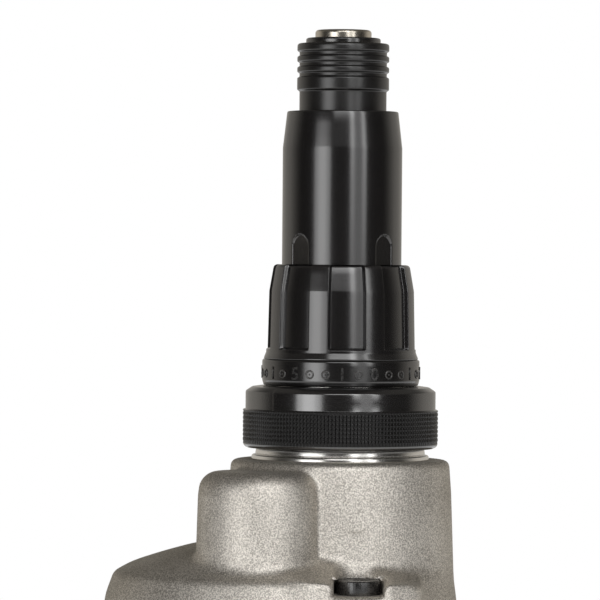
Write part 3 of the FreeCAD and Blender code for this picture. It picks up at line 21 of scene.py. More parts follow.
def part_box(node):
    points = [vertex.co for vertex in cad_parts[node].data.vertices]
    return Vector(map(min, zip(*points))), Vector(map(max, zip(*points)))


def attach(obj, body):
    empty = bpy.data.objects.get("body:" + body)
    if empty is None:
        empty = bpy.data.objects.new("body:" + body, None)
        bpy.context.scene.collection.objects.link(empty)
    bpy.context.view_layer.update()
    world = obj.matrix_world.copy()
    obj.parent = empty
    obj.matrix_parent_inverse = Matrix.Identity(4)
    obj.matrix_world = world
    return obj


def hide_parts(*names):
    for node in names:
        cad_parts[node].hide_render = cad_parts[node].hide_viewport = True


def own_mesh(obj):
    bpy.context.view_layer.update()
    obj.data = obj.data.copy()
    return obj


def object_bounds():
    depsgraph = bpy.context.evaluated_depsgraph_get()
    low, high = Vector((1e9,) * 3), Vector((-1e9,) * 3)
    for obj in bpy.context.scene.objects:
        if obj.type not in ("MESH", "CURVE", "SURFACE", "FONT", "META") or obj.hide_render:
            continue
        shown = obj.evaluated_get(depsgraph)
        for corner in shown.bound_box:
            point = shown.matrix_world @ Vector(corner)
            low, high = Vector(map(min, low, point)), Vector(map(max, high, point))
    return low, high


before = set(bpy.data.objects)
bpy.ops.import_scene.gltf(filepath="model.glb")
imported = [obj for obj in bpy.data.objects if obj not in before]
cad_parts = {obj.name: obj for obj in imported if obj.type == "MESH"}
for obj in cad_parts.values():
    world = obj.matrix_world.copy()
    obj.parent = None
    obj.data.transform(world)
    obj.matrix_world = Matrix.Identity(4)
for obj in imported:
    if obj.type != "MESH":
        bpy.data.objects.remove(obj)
CAD_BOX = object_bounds()
MM = 0.001
LOG = logging.getLogger("drywall_screwdriver")
# Radius, height and rounding of a corner of an outline
Corner = tuple[float, float, float]
# First value, last value and step
Span = tuple[float, float, float]
Place = tuple[float, float, float]
Pair = tuple[float, float]
Rows = tuple[tuple[float, ...], ...]
Shell = tuple[np.ndarray, list[tuple[int, ...]]]
Shape = Callable[[np.ndarray, np.ndarray, np.ndarray], np.ndarray]
Tree = bpy.types.NodeTree
Socket = bpy.types.NodeSocket


def linear(code: str) -> tuple[float, float, float, float]:
    """Turn an sRGB hex colour into linear light.

    Args:
        code: The colour as "#rrggbb".

    Returns:
        Red, green, blue and a full alpha, all linear.
    """
    parts = [int(code[spot:spot + 2], 16) / 255 for spot in (1, 3, 5)]
    red, green, blue = [part / 12.92 if part <= 0.04045 else ((part + 0.055) / 1.055) ** 2.4
                        for part in parts]
    return red, green, blue, 1.0


def per_metre(size: float) -> float:
    """Scale of a texture whose features are this many millimetres across."""
    return 1.0 / (size * MM)


def add(tree: Tree, kind: str, inputs: dict[str | int, Any] | None = None,
        **settings: Any) -> bpy.types.Node:
    """Add a node with its settings, values and links.

    Args:
        tree: The node tree that takes it.
        kind: Blender's name of the node type.
        inputs: Input sockets by name or number, each with a value or a socket to link from.
        settings: Properties of the node.

    Returns:
        The new node.
    """
    node = tree.nodes.new(kind)
    for key, value in settings.items():
        setattr(node, key, value)
    for key, value in (inputs or {}).items():
        if isinstance(value, Socket):
            tree.links.new(value, node.inputs[key])
        else:
            node.inputs[key].default_value = value
    return node


def out(tree: Tree, kind: str, inputs: dict[str | int, Any] | None = None, socket: str | int = 0,
        **settings: Any) -> Socket:
    """Add a node and give out one of its output sockets, by name or number."""
    return add(tree, kind, inputs, **settings).outputs[socket]


def calc(tree: Tree, operation: str, one: Any, two: Any = 0.0, three: Any = 0.0) -> Socket:
    """Work out a value from up to three others."""
    return out(tree, "ShaderNodeMath", {0: one, 1: two, 2: three}, operation=operation)


def remap(tree: Tree, value: Socket, low: float = 0.0, high: float = 1.0, least: float = 0.0,
          most: float = 1.0, soft: bool = False) -> Socket:
    """Map one range of a value to another, and stay inside it.

    Args:
        tree: The node tree.
        value: The value.
        low: Where its range starts.
        high: Where its range ends.
        least: What the start becomes.
        most: What the end becomes.
        soft: Whether it eases in and out.

    Returns:
        The mapped value.
    """
    return out(tree, "ShaderNodeMapRange", {
        "Value": value, "From Min": low, "From Max": high, "To Min": least, "To Max": most},
        interpolation_type="SMOOTHSTEP" if soft else "LINEAR")


def mix(tree: Tree, share: Any, one: Any, two: Any) -> Socket:
    """Mix two values."""
    return out(tree, "ShaderNodeMix", {0: share, 2: one, 3: two})


def tint(tree: Tree, share: Any, one: Any, two: Any) -> Socket:
    """Mix two colours."""
    return out(tree, "ShaderNodeMix", {0: share, 6: one, 7: two}, 2, data_type="RGBA")


def blank(owner: bpy.types.Material | bpy.types.World) -> Tree:
    """Give a material or a world an empty node tree.

    Args:
        owner: The material or the world.

    Returns:
        Its tree.
    """
    owner.use_nodes = True
    owner.node_tree.nodes.clear()
    return owner.node_tree


def rays(tree: Tree) -> tuple[Socket, Socket]:
    """Tell rays that see something from those that only light it.

    Args:
        tree: The node tree.

    Returns:
        Values of 1 for rays from the eye, and for rays off or through a shiny surface.
    """
    path = add(tree, "ShaderNodeLightPath").outputs
    shiny = calc(tree, "MAXIMUM", path["Is Glossy Ray"], path["Is Transmission Ray"])
    return path["Is Camera Ray"], shiny


class Surface(Enum):
    """How a surface was made, which decides its fine pattern."""

    TURNED = "turned on a lathe, with fine rings about the axis"
    BLASTED = "cast and shot blasted, with a bright grain"
    MOULDED = "moulded against a spark eroded tool"
    STACKED = "punched sheets stacked along the axis"
    WOUND = "round wire laid side by side"
    GRAINED = "pressed, rolled or drawn, with a fine even grain"


# The part of a place that lies across the axis
ACROSS = (1.0, 1.0, 0.0)
# How far lathe rings climb with the radius, so that flat ends show them too
RING_LEAN = 0.25
# Noise from which the grain turns from dark to bright
GRAIN_RANGE = (0.39, 0.61)
# Share of the slow clouding in its mix with the fine pattern
CLOUD_SHARE = 0.35
# Convexity from which a corner is rubbed, and at which it is bare
RUBBED_RANGE = (0.53, 0.62)
BEVEL_SAMPLES = 4


@dataclass(frozen=True)
class Finish:
    """A material with a fine pattern, slow clouding, rounded edges and wear.

    Grain and cloud are the widths of the fine pattern and of the clouding, bump is the depth of the
    pattern, and edge is the rounding that shading gives to sharp edges, all in millimetres. Spread is
    how far the roughness wanders to either side.
    """

    name: str
    surface: Surface
    colour: str
    second: str
    metallic: float
    roughness: float
    spread: float
    grain: float
    bump: float
    ior: float = 1.5
    coat: float = 0.0
    edge: float = 0.0
    worn: str = ""
    axis: Pair = (0.0, 0.0)
    cloud: float = 6.0
    grazing: str = "#ffffff"

    def pattern(self, tree: Tree, place: Socket) -> Socket:
        """Make the fine pattern of the surface.

        Args:
            tree: The material's node tree.
            place: Object coordinates.

        Returns:
            A value from about 0 to 1 over the surface.
        """
        scale = per_metre(self.grain)
        if self.surface in (Surface.TURNED, Surface.STACKED):
            rise = out(tree, "ShaderNodeSeparateXYZ", {0: place}, "Z")
            if self.surface is Surface.STACKED:
                return calc(tree, "PINGPONG", calc(tree, "MULTIPLY", rise, scale), 1.0)
            middle = (self.axis[0] * MM, self.axis[1] * MM, 0.0)
            shift = out(tree, "ShaderNodeVectorMath", {0: place, 1: middle}, operation="SUBTRACT")
            flat = out(tree, "ShaderNodeVectorMath", {0: shift, 1: ACROSS}, operation="MULTIPLY")
            reach = out(tree, "ShaderNodeVectorMath", {0: flat}, "Value", operation="LENGTH")
            along = calc(tree, "MULTIPLY_ADD", reach, RING_LEAN, rise)
            return out(tree, "ShaderNodeTexNoise", {
                "W": along, "Scale": scale, "Detail": 4.0, "Roughness": 0.6}, noise_dimensions="1D")
        if self.surface is Surface.WOUND:
            return out(tree, "ShaderNodeTexWave", {
                "Vector": place, "Scale": scale / (2 * math.pi), "Distortion": 1.5, "Detail": 1.0}, "Fac",
                bands_direction="DIAGONAL")
        if self.surface is Surface.MOULDED:
            return out(tree, "ShaderNodeTexVoronoi", {
                "Vector": place, "Scale": scale, "Smoothness": 0.8}, "Distance", feature="SMOOTH_F1")
        noise = out(tree, "ShaderNodeTexNoise", {
            "Vector": place, "Scale": scale, "Detail": 1.5, "Roughness": 0.6})
        return remap(tree, noise, *GRAIN_RANGE)

    def material(self) -> bpy.types.Material:
        """Build the node material once, and give it out again after that.

        Returns:
            The material.
        """
        made = bpy.data.materials.get(self.name)
        if made:
            return made
        made = bpy.data.materials.new(self.name)
        tree = blank(made)
        place = out(tree, "ShaderNodeTexCoord", socket="Object")
        fine = self.pattern(tree, place)
        cloud = out(tree, "ShaderNodeTexNoise", {
            "Vector": place, "Scale": per_metre(self.cloud), "Detail": 3.0})
        both = mix(tree, CLOUD_SHARE, fine, cloud)
        colour = tint(tree, both, linear(self.colour), linear(self.second))
        if self.worn:
            point = out(tree, "ShaderNodeNewGeometry", socket="Pointiness")
            rub = calc(tree, "MULTIPLY", remap(tree, point, *RUBBED_RANGE), cloud)
            colour = tint(tree, rub, colour, linear(self.worn))
        rough = remap(tree, both, least=self.roughness - self.spread, most=self.roughness + self.spread)
        relief = {"Height": fine, "Distance": self.bump * MM, "Strength": 1.0}
        if self.edge:
            round_edge = {"Radius": self.edge * MM}
            relief["Normal"] = out(tree, "ShaderNodeBevel", round_edge, samples=BEVEL_SAMPLES)
        normal = out(tree, "ShaderNodeBump", relief)
        shader = out(tree, "ShaderNodeBsdfPrincipled", {
            "Base Color": colour, "Roughness": rough, "Normal": normal, "Metallic": self.metallic,
            "IOR": self.ior, "Coat Weight": self.coat, "Specular Tint": linear(self.grazing)})
        add(tree, "ShaderNodeOutputMaterial", {0: shader})
        return made


# Steel blackened by hot oxide and oiled: a deep black skin of magnetite with a clear gloss, fine
# lathe rings and grey edges where it has rubbed. On all turned pieces the rings are drawn coarser
# than a lathe leaves them, so that they show
BLACK_OXIDE = Finish("hot_black_oxide_steel", Surface.TURNED, "#0d0c0c", "#141314", 0.0, 0.18, 0.03,
                     0.35, 0.001, ior=1.9, worn="#3a3836")
# The chuck collar is blackened as it left the lathe, so its shine is soft and broad
SATIN_OXIDE = Finish("satin_black_oxide_steel", Surface.TURNED, "#0d0c0c", "#161515", 0.0, 0.29, 0.04,
                     0.35, 0.002, ior=1.68, worn="#3a3836")
# The lock collar is buffed before it is blackened, so its plain band is the brightest black
BUFFED_OXIDE = Finish("buffed_black_oxide_steel", Surface.TURNED, "#0d0c0c", "#141314", 0.0, 0.17,
                      0.03, 0.4, 0.0008, ior=2.3, worn="#3a3836")
# Knurled black oxide: the rolls leave a torn, dry skin that hardly shines
KNURLED_OXIDE = Finish("knurled_black_oxide_steel", Surface.GRAINED, "#070606", "#0c0b0b", 0.0, 0.27,
                       0.05, 0.3, 0.002, ior=1.38)
# The same skin on screws, raised marks and small parts, duller because they aren't polished first
BLACK_OXIDE_ROUGH = Finish("black_oxide_steel_unpolished", Surface.GRAINED, "#0f0e0e", "#191818", 0.0,
                           0.27, 0.05, 0.4, 0.002, ior=1.85, worn="#4a4744")
# Ground tool steel: bright and a little warm, with grinding rings that draw the highlights out
GROUND_STEEL = Finish("ground_tool_steel", Surface.TURNED, "#dcd5c9", "#bdb6aa", 1.0, 0.24, 0.06, 0.2,
                      0.002, edge=0.12)
# Turned aluminium: pale, streaked by the lathe
TURNED_ALUMINIUM = Finish("turned_aluminium", Surface.TURNED, "#f0eeea", "#d9d7d3", 1.0, 0.21, 0.04,
                          0.3, 0.003, edge=0.15)
# Sand cast aluminium, shot blasted: warm grey, dull, with a sparkling grain of small dents. Real
# dents are finer, and the grain is drawn a quarter of a millimetre wide so that it shows
BLASTED_ALUMINIUM = Finish("blasted_cast_aluminium", Surface.BLASTED, "#9a948c", "#fffaf2", 1.0, 0.5,
                           0.06, 0.25, 0.015, cloud=9.0, grazing="#9e9d95")
# Sintered bronze: porous and oiled, brown gold
SINTERED_BRONZE = Finish("sintered_bronze", Surface.GRAINED, "#8a6a3c", "#a8854f", 1.0, 0.42, 0.08, 0.4,
                         0.01, edge=0.12)
# Hobbed and hardened gear steel: grey with a straw tint of the furnace and a film of grease
GEAR_STEEL = Finish("hardened_gear_steel", Surface.TURNED, "#8b8881", "#77736b", 1.0, 0.3, 0.07, 0.25,
                    0.003, edge=0.1)
# Motor laminations: dark varnished sheet steel in half millimetre steps
LAMINATIONS = Finish("varnished_laminations", Surface.STACKED, "#3a3a3d", "#6a6865", 0.8, 0.42, 0.1, 0.5,
                     0.05, edge=0.1)
# Enamelled copper wire under baked varnish: red brown, shiny strands
COPPER_WIRE = Finish("enamelled_copper_wire", Surface.WOUND, "#6e3418", "#a8592c", 0.7, 0.32, 0.08, 0.9,
                     0.12, coat=0.4)
# Turned copper bars with a brown film from the brushes
COMMUTATOR_COPPER = Finish("turned_commutator_copper", Surface.TURNED, "#b06a42", "#8e5434", 1.0, 0.28,
                           0.08, 0.3, 0.004, edge=0.08, axis=(-11.0, 0.0))
# Drawn brass tube: yellow and satin
DRAWN_BRASS = Finish("drawn_brass", Surface.GRAINED, "#b08d4a", "#c4a25c", 1.0, 0.3, 0.06, 0.6, 0.004,
                     edge=0.12)
# Pressed carbon: soft dark grey with a graphite sheen
PRESSED_CARBON = Finish("pressed_carbon", Surface.GRAINED, "#1d1d1e", "#2d2d2f", 0.2, 0.5, 0.1, 0.3, 0.01,
                        edge=0.15)
# Glass filled nylon moulded on a spark eroded tool: charcoal, dull, with a fine leathery pimple
MOULDED_NYLON = Finish("moulded_glass_filled_nylon", Surface.MOULDED, "#2a2b2e", "#34353a", 0.0, 0.48,
                       0.07, 0.45, 0.05, edge=0.45)
# Smooth moulded control plastic: black, half gloss
CONTROL_PLASTIC = Finish("smooth_moulded_acetal", Surface.MOULDED, "#18181a", "#202124", 0.0, 0.33, 0.05,
                         0.6, 0.008, edge=0.3)
# Unpainted fan and baffle moulding: grey, dull
FAN_PLASTIC = Finish("moulded_fan_nylon", Surface.MOULDED, "#3a3c40", "#45474c", 0.0, 0.45, 0.06, 0.5,
                     0.02, edge=0.2)
# Moulded rubber: matt black, faintly dusty
MOULDED_RUBBER = Finish("moulded_rubber", Surface.MOULDED, "#1b1b1b", "#262626", 0.0, 0.72, 0.06, 0.5,
                        0.03, ior=1.48, edge=0.3)

FINISH_OF_SLOT: dict[str, Finish] = {
    "black_oxide_steel": BLACK_OXIDE_ROUGH, "bright_steel": GROUND_STEEL,
    "machined_aluminium": TURNED_ALUMINIUM, "cast_aluminium": BLASTED_ALUMINIUM,
    "sintered_bronze": SINTERED_BRONZE, "gear_steel": GEAR_STEEL, "core_steel": LAMINATIONS,
    "copper_winding": COPPER_WIRE, "commutator_copper": COMMUTATOR_COPPER, "brush_brass": DRAWN_BRASS,
    "brush_carbon": PRESSED_CARBON, "housing_nylon": MOULDED_NYLON, "control_plastic": CONTROL_PLASTIC,
    "fan_plastic": FAN_PLASTIC, "gland_rubber": MOULDED_RUBBER,
}


def ring_of(count: int) -> np.ndarray:
    """Even angles round a full turn."""
    return np.arange(count) * 2 * math.pi / count


def steps(first: float, last: float, step: float) -> np.ndarray:
    """Even values from the first to the last, with both."""
    return np.arange(first, last + step / 2, step)


def ease(value: np.ndarray) -> np.ndarray:
    """A soft step from 0 to 1."""
    value = np.clip(value, 0, 1)
    return value * value * (3 - 2 * value)


# A rounded corner takes less than half of the runs beside it
LONGEST_CUT = 0.49
# A point nearer to the axis than this lies on it
ON_AXIS = 1e-6


def soften(corners: list[Corner], step: float = 0.0, cuts: int = 6) -> np.ndarray:
    """Round the corners of a closed outline and split its long runs.

    Args:
        corners: Radius, height and corner rounding of each corner, in order.
        step: Longest run to leave whole, or 0 for any.
        cuts: Points along each rounded corner.

    Returns:
        Radius and height of each point of the finished outline.
    """
    places = [np.array(corner[:2]) for corner in corners]
    points: list[np.ndarray] = []
    for index, here in enumerate(places):
        rounding = corners[index][2]
        back = places[index - 1] - here
        ahead = places[(index + 1) % len(places)] - here
        if rounding <= 0:
            points.append(here)
            continue
        runs = np.linalg.norm(back), np.linalg.norm(ahead)
        back, ahead = back / runs[0], ahead / runs[1]
        half = math.acos(float(np.clip(back @ ahead, -1, 1))) / 2
        cut = min(rounding / math.tan(half), LONGEST_CUT * runs[0], LONGEST_CUT * runs[1])
        for share in np.linspace(0, 1, cuts):
            points.append(here + back * cut * (1 - share) ** 2 + ahead * cut * share ** 2)
    if not step:
        return np.array(points)
    split: list[np.ndarray] = []
    for index, here in enumerate(points):
        ahead = points[(index + 1) % len(points)]
        parts = max(1, math.ceil(float(np.linalg.norm(ahead - here)) / step))
        split += [here + (ahead - here) * part / parts for part in range(parts)]
    return np.array(split)


def revolve(outline: np.ndarray, angles: np.ndarray, shape: Shape | None = None) -> Shell:
    """Turn a closed outline about Z.

    Args:
        outline: Radius and height of each point.
        angles: Angle of each column, in radians.
        shape: Changes the radius of every point, given its radius, height and angle.

    Returns:
        The points and faces of a closed mesh.
    """
    rows, columns = len(outline), len(angles)
    turn = np.tile(angles, (rows, 1))
    radius = np.tile(outline[:, :1], (1, columns))
    height = np.tile(outline[:, 1:], (1, columns))
    if shape:
        radius = shape(radius, height, turn)
    points = np.stack((radius * np.cos(turn), radius * np.sin(turn), height), axis=-1).reshape(-1, 3)
    index = np.arange(rows * columns).reshape(rows, columns)
    poles = outline[:, 0] < ON_AXIS
    index[poles] = index[poles][:, :1]
    faces = []
    for row in range(rows):
        low, high = index[row], index[(row + 1) % rows]
        for column in range(columns):
            beside = (column + 1) % columns
            loop = tuple(dict.fromkeys((int(low[column]), int(low[beside]), int(high[beside]),
                                        int(high[column]))))
            if len(loop) > 2:
                faces.append(loop)
    used, packed = np.unique(np.concatenate([np.array(loop) for loop in faces]), return_inverse=True)
    spots = iter(packed)
    return points[used], [tuple(int(next(spots)) for _ in loop) for loop in faces]


def show(name: str, data: bpy.types.ID) -> bpy.types.Object:
    """Put an object into the scene.

    Args:
        name: Name of the object.
        data: Its mesh, text, lamp or lens.

    Returns:
        The new object.
    """
    made = bpy.data.objects.new(name, data)
    bpy.context.scene.collection.objects.link(made)
    return made


def piece(name: str, shell: Shell, finish: Finish, crease: float = 35.0) -> bpy.types.Object:
    """Make a finished piece at the origin, with its place in its mesh and its faces outwards.

    Args:
        name: Name of the piece.
        shell: Its points in millimetres and its faces.
        finish: Its material.
        crease: Edges sharper than this many degrees stay sharp.

    Returns:
        The new object.
    """
    points, faces = shell
    mesh = bpy.data.meshes.new(name)
    mesh.from_pydata((points * MM).tolist(), [], faces)
    solid = bmesh.new()
    solid.from_mesh(mesh)
    if solid.calc_volume(signed=True) < 0:
        mesh.flip_normals()
    solid.free()
    mesh.polygons.foreach_set("use_smooth", [True] * len(mesh.polygons))
    mesh.set_sharp_from_angle(angle=math.radians(crease))
    mesh.materials.append(finish.material())
    return show(name, mesh)


def settle(made: bpy.types.Object, body: str, slot: str, *nodes: str) -> None:
    """Let a piece ride on its body in place of CAD nodes, and report it.

    Args:
        made: The finished piece.
        body: The CAD body that it moves with.
        slot: The record's material slot; not used.
        nodes: CAD nodes that it stands for.
    """
    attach(made, body)
    if nodes:
        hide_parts(*nodes)
    LOG.info("%s: %d faces on %s", made.name, len(made.data.polygons), body)


def plain_mesh(made: bpy.types.Object) -> bpy.types.Mesh:
    """Turn what an object shows into a mesh of its own."""
    graph = bpy.context.evaluated_depsgraph_get()
    return bpy.data.meshes.new_from_object(made.evaluated_get(graph), depsgraph=graph)


def open_tree(name: str, kinds: dict[str, str]) -> tuple[Tree, Any]:
    """Start a Geometry Nodes tree with named inputs.

    Args:
        name: Name of the tree.
        kinds: The kind of each input, by name.

    Returns:
        The tree, and the sockets that give its inputs.
    """
    tree = bpy.data.node_groups.new(name, "GeometryNodeTree")
    for label, kind in kinds.items():
        tree.interface.new_socket(label, in_out="INPUT", socket_type="NodeSocket" + kind)
    tree.interface.new_socket("Pieces", in_out="OUTPUT", socket_type="NodeSocketGeometry")
    return tree, add(tree, "NodeGroupInput").outputs


def close_tree(tree: Tree, placed: Socket, finish: Socket) -> Tree:
    """End a tree: make its instances real and dress them.

    Args:
        tree: The tree.
        placed: The instances.
        finish: The material.

    Returns:
        The finished tree.
    """
    real = out(tree, "GeometryNodeRealizeInstances", {0: placed})
    dressed = out(tree, "GeometryNodeSetMaterial", {0: real, "Material": finish})
    add(tree, "NodeGroupOutput", {0: dressed})
    return tree


def run_tree(name: str, spots: list[Place], tree: Tree, given: dict[str, Any]) -> bpy.types.Object:
    """Run a Geometry Nodes tree on loose points and keep the result as a plain mesh.

    Args:
        name: Name of the new piece.
        spots: The points, in millimetres.
        tree: The tree.
        given: Values of the tree's inputs by name.

    Returns:
        The new object.
    """
    mesh = bpy.data.meshes.new(name)
    mesh.from_pydata([[value * MM for value in spot] for spot in spots], [], [])
    made = show(name, mesh)
    modifier = made.modifiers.new(tree.name, "NODES")
    modifier.node_group = tree
    for socket in tree.interface.items_tree:
        if socket.item_type == "SOCKET" and socket.in_out == "INPUT" and socket.name in given:
            modifier[socket.identifier] = given[socket.name]
    mesh = plain_mesh(made)
    made.modifiers.clear()
    made.data = mesh
    return made


@dataclass
class ChuckCollar:
    """The pull-back collar of the quick-change chuck, with a ribbed grip at its top."""

    foot: float = 263.5
    bore: float = 5.35
    bore_foot: float = 14.5
    recess: float = 6.9
    waist: float = 8.05
    grip: float = 8.5
    grip_foot: float = 13.45
    grip_slope: float = 0.35
    grip_top: float = 22.35
    valley: float = 8.08
    valley_starts: tuple[float, ...] = (16.05, 18.0, 19.95)
    valley_height: float = 0.9
    valley_flare: float = 0.1
    valley_slope: float = 0.15
    lip: float = 7.1
    lip_depth: float = 0.3
    ball_groove: float = 6.3
    ball_groove_ends: Pair = (18.65, 21.65)
    run: float = 0.5
    columns: int = 144

    def build(self) -> None:
        """Turn the collar with its rounded ribs and let it slide."""
        corners = [(self.recess, 0.0, 0.2), (self.waist, 0.0, 0.35), (self.waist, self.grip_foot, 0.25),
                   (self.grip, self.grip_foot + self.grip_slope, 0.3)]
        for start in self.valley_starts:
            end = start + self.valley_height
            corners += [(self.grip, start - self.valley_flare, 0.35),
                        (self.valley, start + self.valley_slope, 0.2),
                        (self.valley, end - self.valley_slope, 0.2),
                        (self.grip, end + self.valley_flare, 0.35)]
        low, high = self.ball_groove_ends
        shelf = self.grip_top - self.lip_depth
        corners += [(self.grip, self.grip_top, 0.6), (self.lip, self.grip_top, 0.15), (self.lip, shelf, 0.0),
                    (self.bore, shelf, 0.15), (self.bore, high, 0.0), (self.ball_groove, high, 0.0),
                    (self.ball_groove, low, 0.0), (self.bore, low, 0.0), (self.bore, self.bore_foot, 0.15),
                    (self.recess, self.bore_foot, 0.2)]
        shell = revolve(soften(corners, self.run) + (0.0, self.foot), ring_of(self.columns))
        made = piece("chuck_collar_ribbed", shell, SATIN_OXIDE)
        settle(made, "collar", "black_oxide_steel", "chuck_collar")


@dataclass
class StopSleeve:
    """The plain depth stop tube with four arched key grooves."""

    foot: float = 221.3
    bore: float = 8.8
    radius: float = 11.05
    mouth: float = 10.27
    taper_foot: float = 45.2
    length: float = 52.0
    run: float = 2.2
    lining: float = 0.6
    touch: float = 0.01
    groove_width: float = 4.2
    groove_floor: float = 10.6
    groove_top: float = 29.3
    groove_edge: float = 0.22
    grooves: int = 4
    arch_rows: Span = (-2.6, 0.76, 0.14)
    arch_clear: float = 0.1
    near_turns: Span = (-13.5, 13.5, 0.75)
    far_turns: Span = (17.0, 73.0, 4.0)

    def relief(self, radius: np.ndarray, height: np.ndarray, turn: np.ndarray) -> np.ndarray:
        """Sink the flat-floored grooves into the outer wall.

        Args:
            radius: Radius of each point.
            height: Height of each point.
            turn: Angle of each point.

        Returns:
            The new radius of each point.
        """
        pitch = 2 * math.pi / self.grooves
        offset = (turn % pitch) - pitch / 2
        across = np.abs(self.radius * np.sin(offset))
        above = np.maximum(height - (self.foot + self.groove_top - self.groove_width / 2), 0)
        depth_in = self.groove_width / 2 - np.hypot(across, above)
        floor = self.groove_floor / np.cos(offset)
        sunk = radius + (np.minimum(floor, radius) - radius) * ease(depth_in / self.groove_edge)
        return np.where(radius > self.bore + self.lining, sunk, radius)

    def outline(self) -> np.ndarray:
        """Draw the tube's outline, with close rows where the grooves end.

        Returns:
            Radius and height of each point.
        """
        rows = soften([(self.bore, 0.0, 0.2), (self.radius, 0.0, 0.2), (self.radius, self.taper_foot, 3.0),
                       (self.mouth, self.length, 0.35), (self.bore, self.length, 0.25)], self.run)
        arch = self.groove_top + steps(*self.arch_rows)
        beside = (rows[:, 1] > arch[0] - self.arch_clear) & (rows[:, 1] < arch[-1] + self.arch_clear)
        rows = rows[~(beside & (rows[:, 0] > self.radius - self.touch))]
        split = int(np.argmax((rows[:, 0] > self.radius - self.touch) & (rows[:, 1] > arch[-1])))
        wall = np.stack((np.full(len(arch), self.radius), arch), axis=1)
        return np.concatenate((rows[:split], wall, rows[split:]))

    def build(self) -> None:
        """Turn the tube, sink its grooves and let it travel."""
        turns = np.radians(np.concatenate((steps(*self.near_turns), steps(*self.far_turns))))
        pitch = 2 * math.pi / self.grooves
        angles = np.concatenate([turns + pitch / 2 + groove * pitch for groove in range(self.grooves)])
        shell = revolve(self.outline() + (0.0, self.foot), angles, self.relief)
        made = piece("stop_sleeve_grooved", shell, BLACK_OXIDE)
        settle(made, "stop", "black_oxide_steel", "stop_sleeve")


@dataclass
class AdjustingSleeve:
    """The tapered sleeve that is turned by hand, with eight sunk finger panels."""

    foot: float = 222.7
    skirt: float = 13.2
    skirt_top: float = 4.8
    shoulder: float = 13.85
    flare: float = 14.35
    flare_height: float = 1.3
    knee_radius: float = 13.6
    knee: float = 17.4
    knee_room: float = 3.0
    top_radius: float = 12.75
    top: float = 22.3
    rim_height: float = 1.0
    bore: float = 11.1
    screw_bore: float = 12.35
    screw_top: float = 5.9
    lining: float = 1.15
    panels: int = 8
    panel_turn: float = 4.2
    panel_half: float = 15.0
    panel_depth: float = 0.8
    panel_sill: float = 6.6
    panel_edge: float = 0.5
    sill_rows: Span = (-0.14, 0.49, 0.07)
    wall_row_foot: float = 0.9
    wall_row_gap: float = 1.8
    wall_row_step: float = 1.0
    edge_turns: Span = (-2.4, 0.8, 0.2)
    floor_turns: Span = (-13.0, 13.0, 2.0)
    land_turns: Span = (18.5, 26.0, 2.5)
    first_turn: float = -17.0

    def relief(self, radius: np.ndarray, height: np.ndarray, turn: np.ndarray) -> np.ndarray:
        """Sink the finger panels into the cone.

        Args:
            radius: Radius of each point.
            height: Height of each point.
            turn: Angle of each point.

        Returns:
            The new radius of each point.
        """
        pitch = 2 * math.pi / self.panels
        offset = (turn - math.radians(self.panel_turn) + pitch / 2) % pitch - pitch / 2
        side = (math.radians(self.panel_half) - np.abs(offset)) * self.shoulder
        above = height - self.foot - self.panel_sill
        mask = ease(side / self.panel_edge) * ease(above / self.panel_edge)
        return np.where(radius > self.bore + self.lining, radius - self.panel_depth * mask, radius)

    def outline(self) -> np.ndarray:
        """Draw the sleeve's outline, with close rows at the sill of the panels.

        Returns:
            Radius and height of each point.
        """
        rows = soften([(self.screw_bore, 0.0, 0.2), (self.skirt, 0.0, 0.1),
                       (self.skirt, self.skirt_top, 0.0), (self.flare, self.skirt_top, 0.25),
                       (self.shoulder, self.skirt_top + self.flare_height, 0.9),
                       (self.knee_radius, self.knee, 2.0), (self.top_radius, self.top, 0.9),
                       (self.bore, self.top, 0.2), (self.bore, self.screw_top, 0.0),
                       (self.screw_bore, self.screw_top, 0.0)])
        first = int(np.argmax(rows[:, 1] > self.knee - self.knee_room)) - 1
        last = int(np.argmax(rows[:, 1] > self.top - self.rim_height))
        wall = rows[first:last + 1]
        above = steps(self.panel_sill + self.wall_row_foot, self.top - self.wall_row_gap, self.wall_row_step)
        rises = np.unique(np.round(np.concatenate((
            wall[:, 1], self.panel_sill + steps(*self.sill_rows), above)), 3))
        dense = np.stack((np.interp(rises, wall[:, 1], wall[:, 0]), rises), axis=1)
        return np.concatenate((rows[:first], dense, rows[last + 1:]))

    def build(self) -> None:
        """Turn the sleeve, sink its panels and let it turn."""
        edge = steps(*self.edge_turns)
        turns = np.unique(np.round(np.concatenate((
            -self.panel_half - edge, steps(*self.floor_turns), self.panel_half + edge,
            steps(*self.land_turns))), 3))
        pitch = 360 / self.panels
        turns = turns[(turns >= self.first_turn) & (turns < self.first_turn + pitch)]
        angles = np.radians(np.concatenate([turns + self.panel_turn + panel * pitch
                                            for panel in range(self.panels)]))
        shell = revolve(self.outline() + (0.0, self.foot), angles, self.relief)
        made = piece("adjusting_sleeve_fluted", shell, BLACK_OXIDE)
        settle(made, "adjuster", "black_oxide_steel", "adjusting_sleeve")


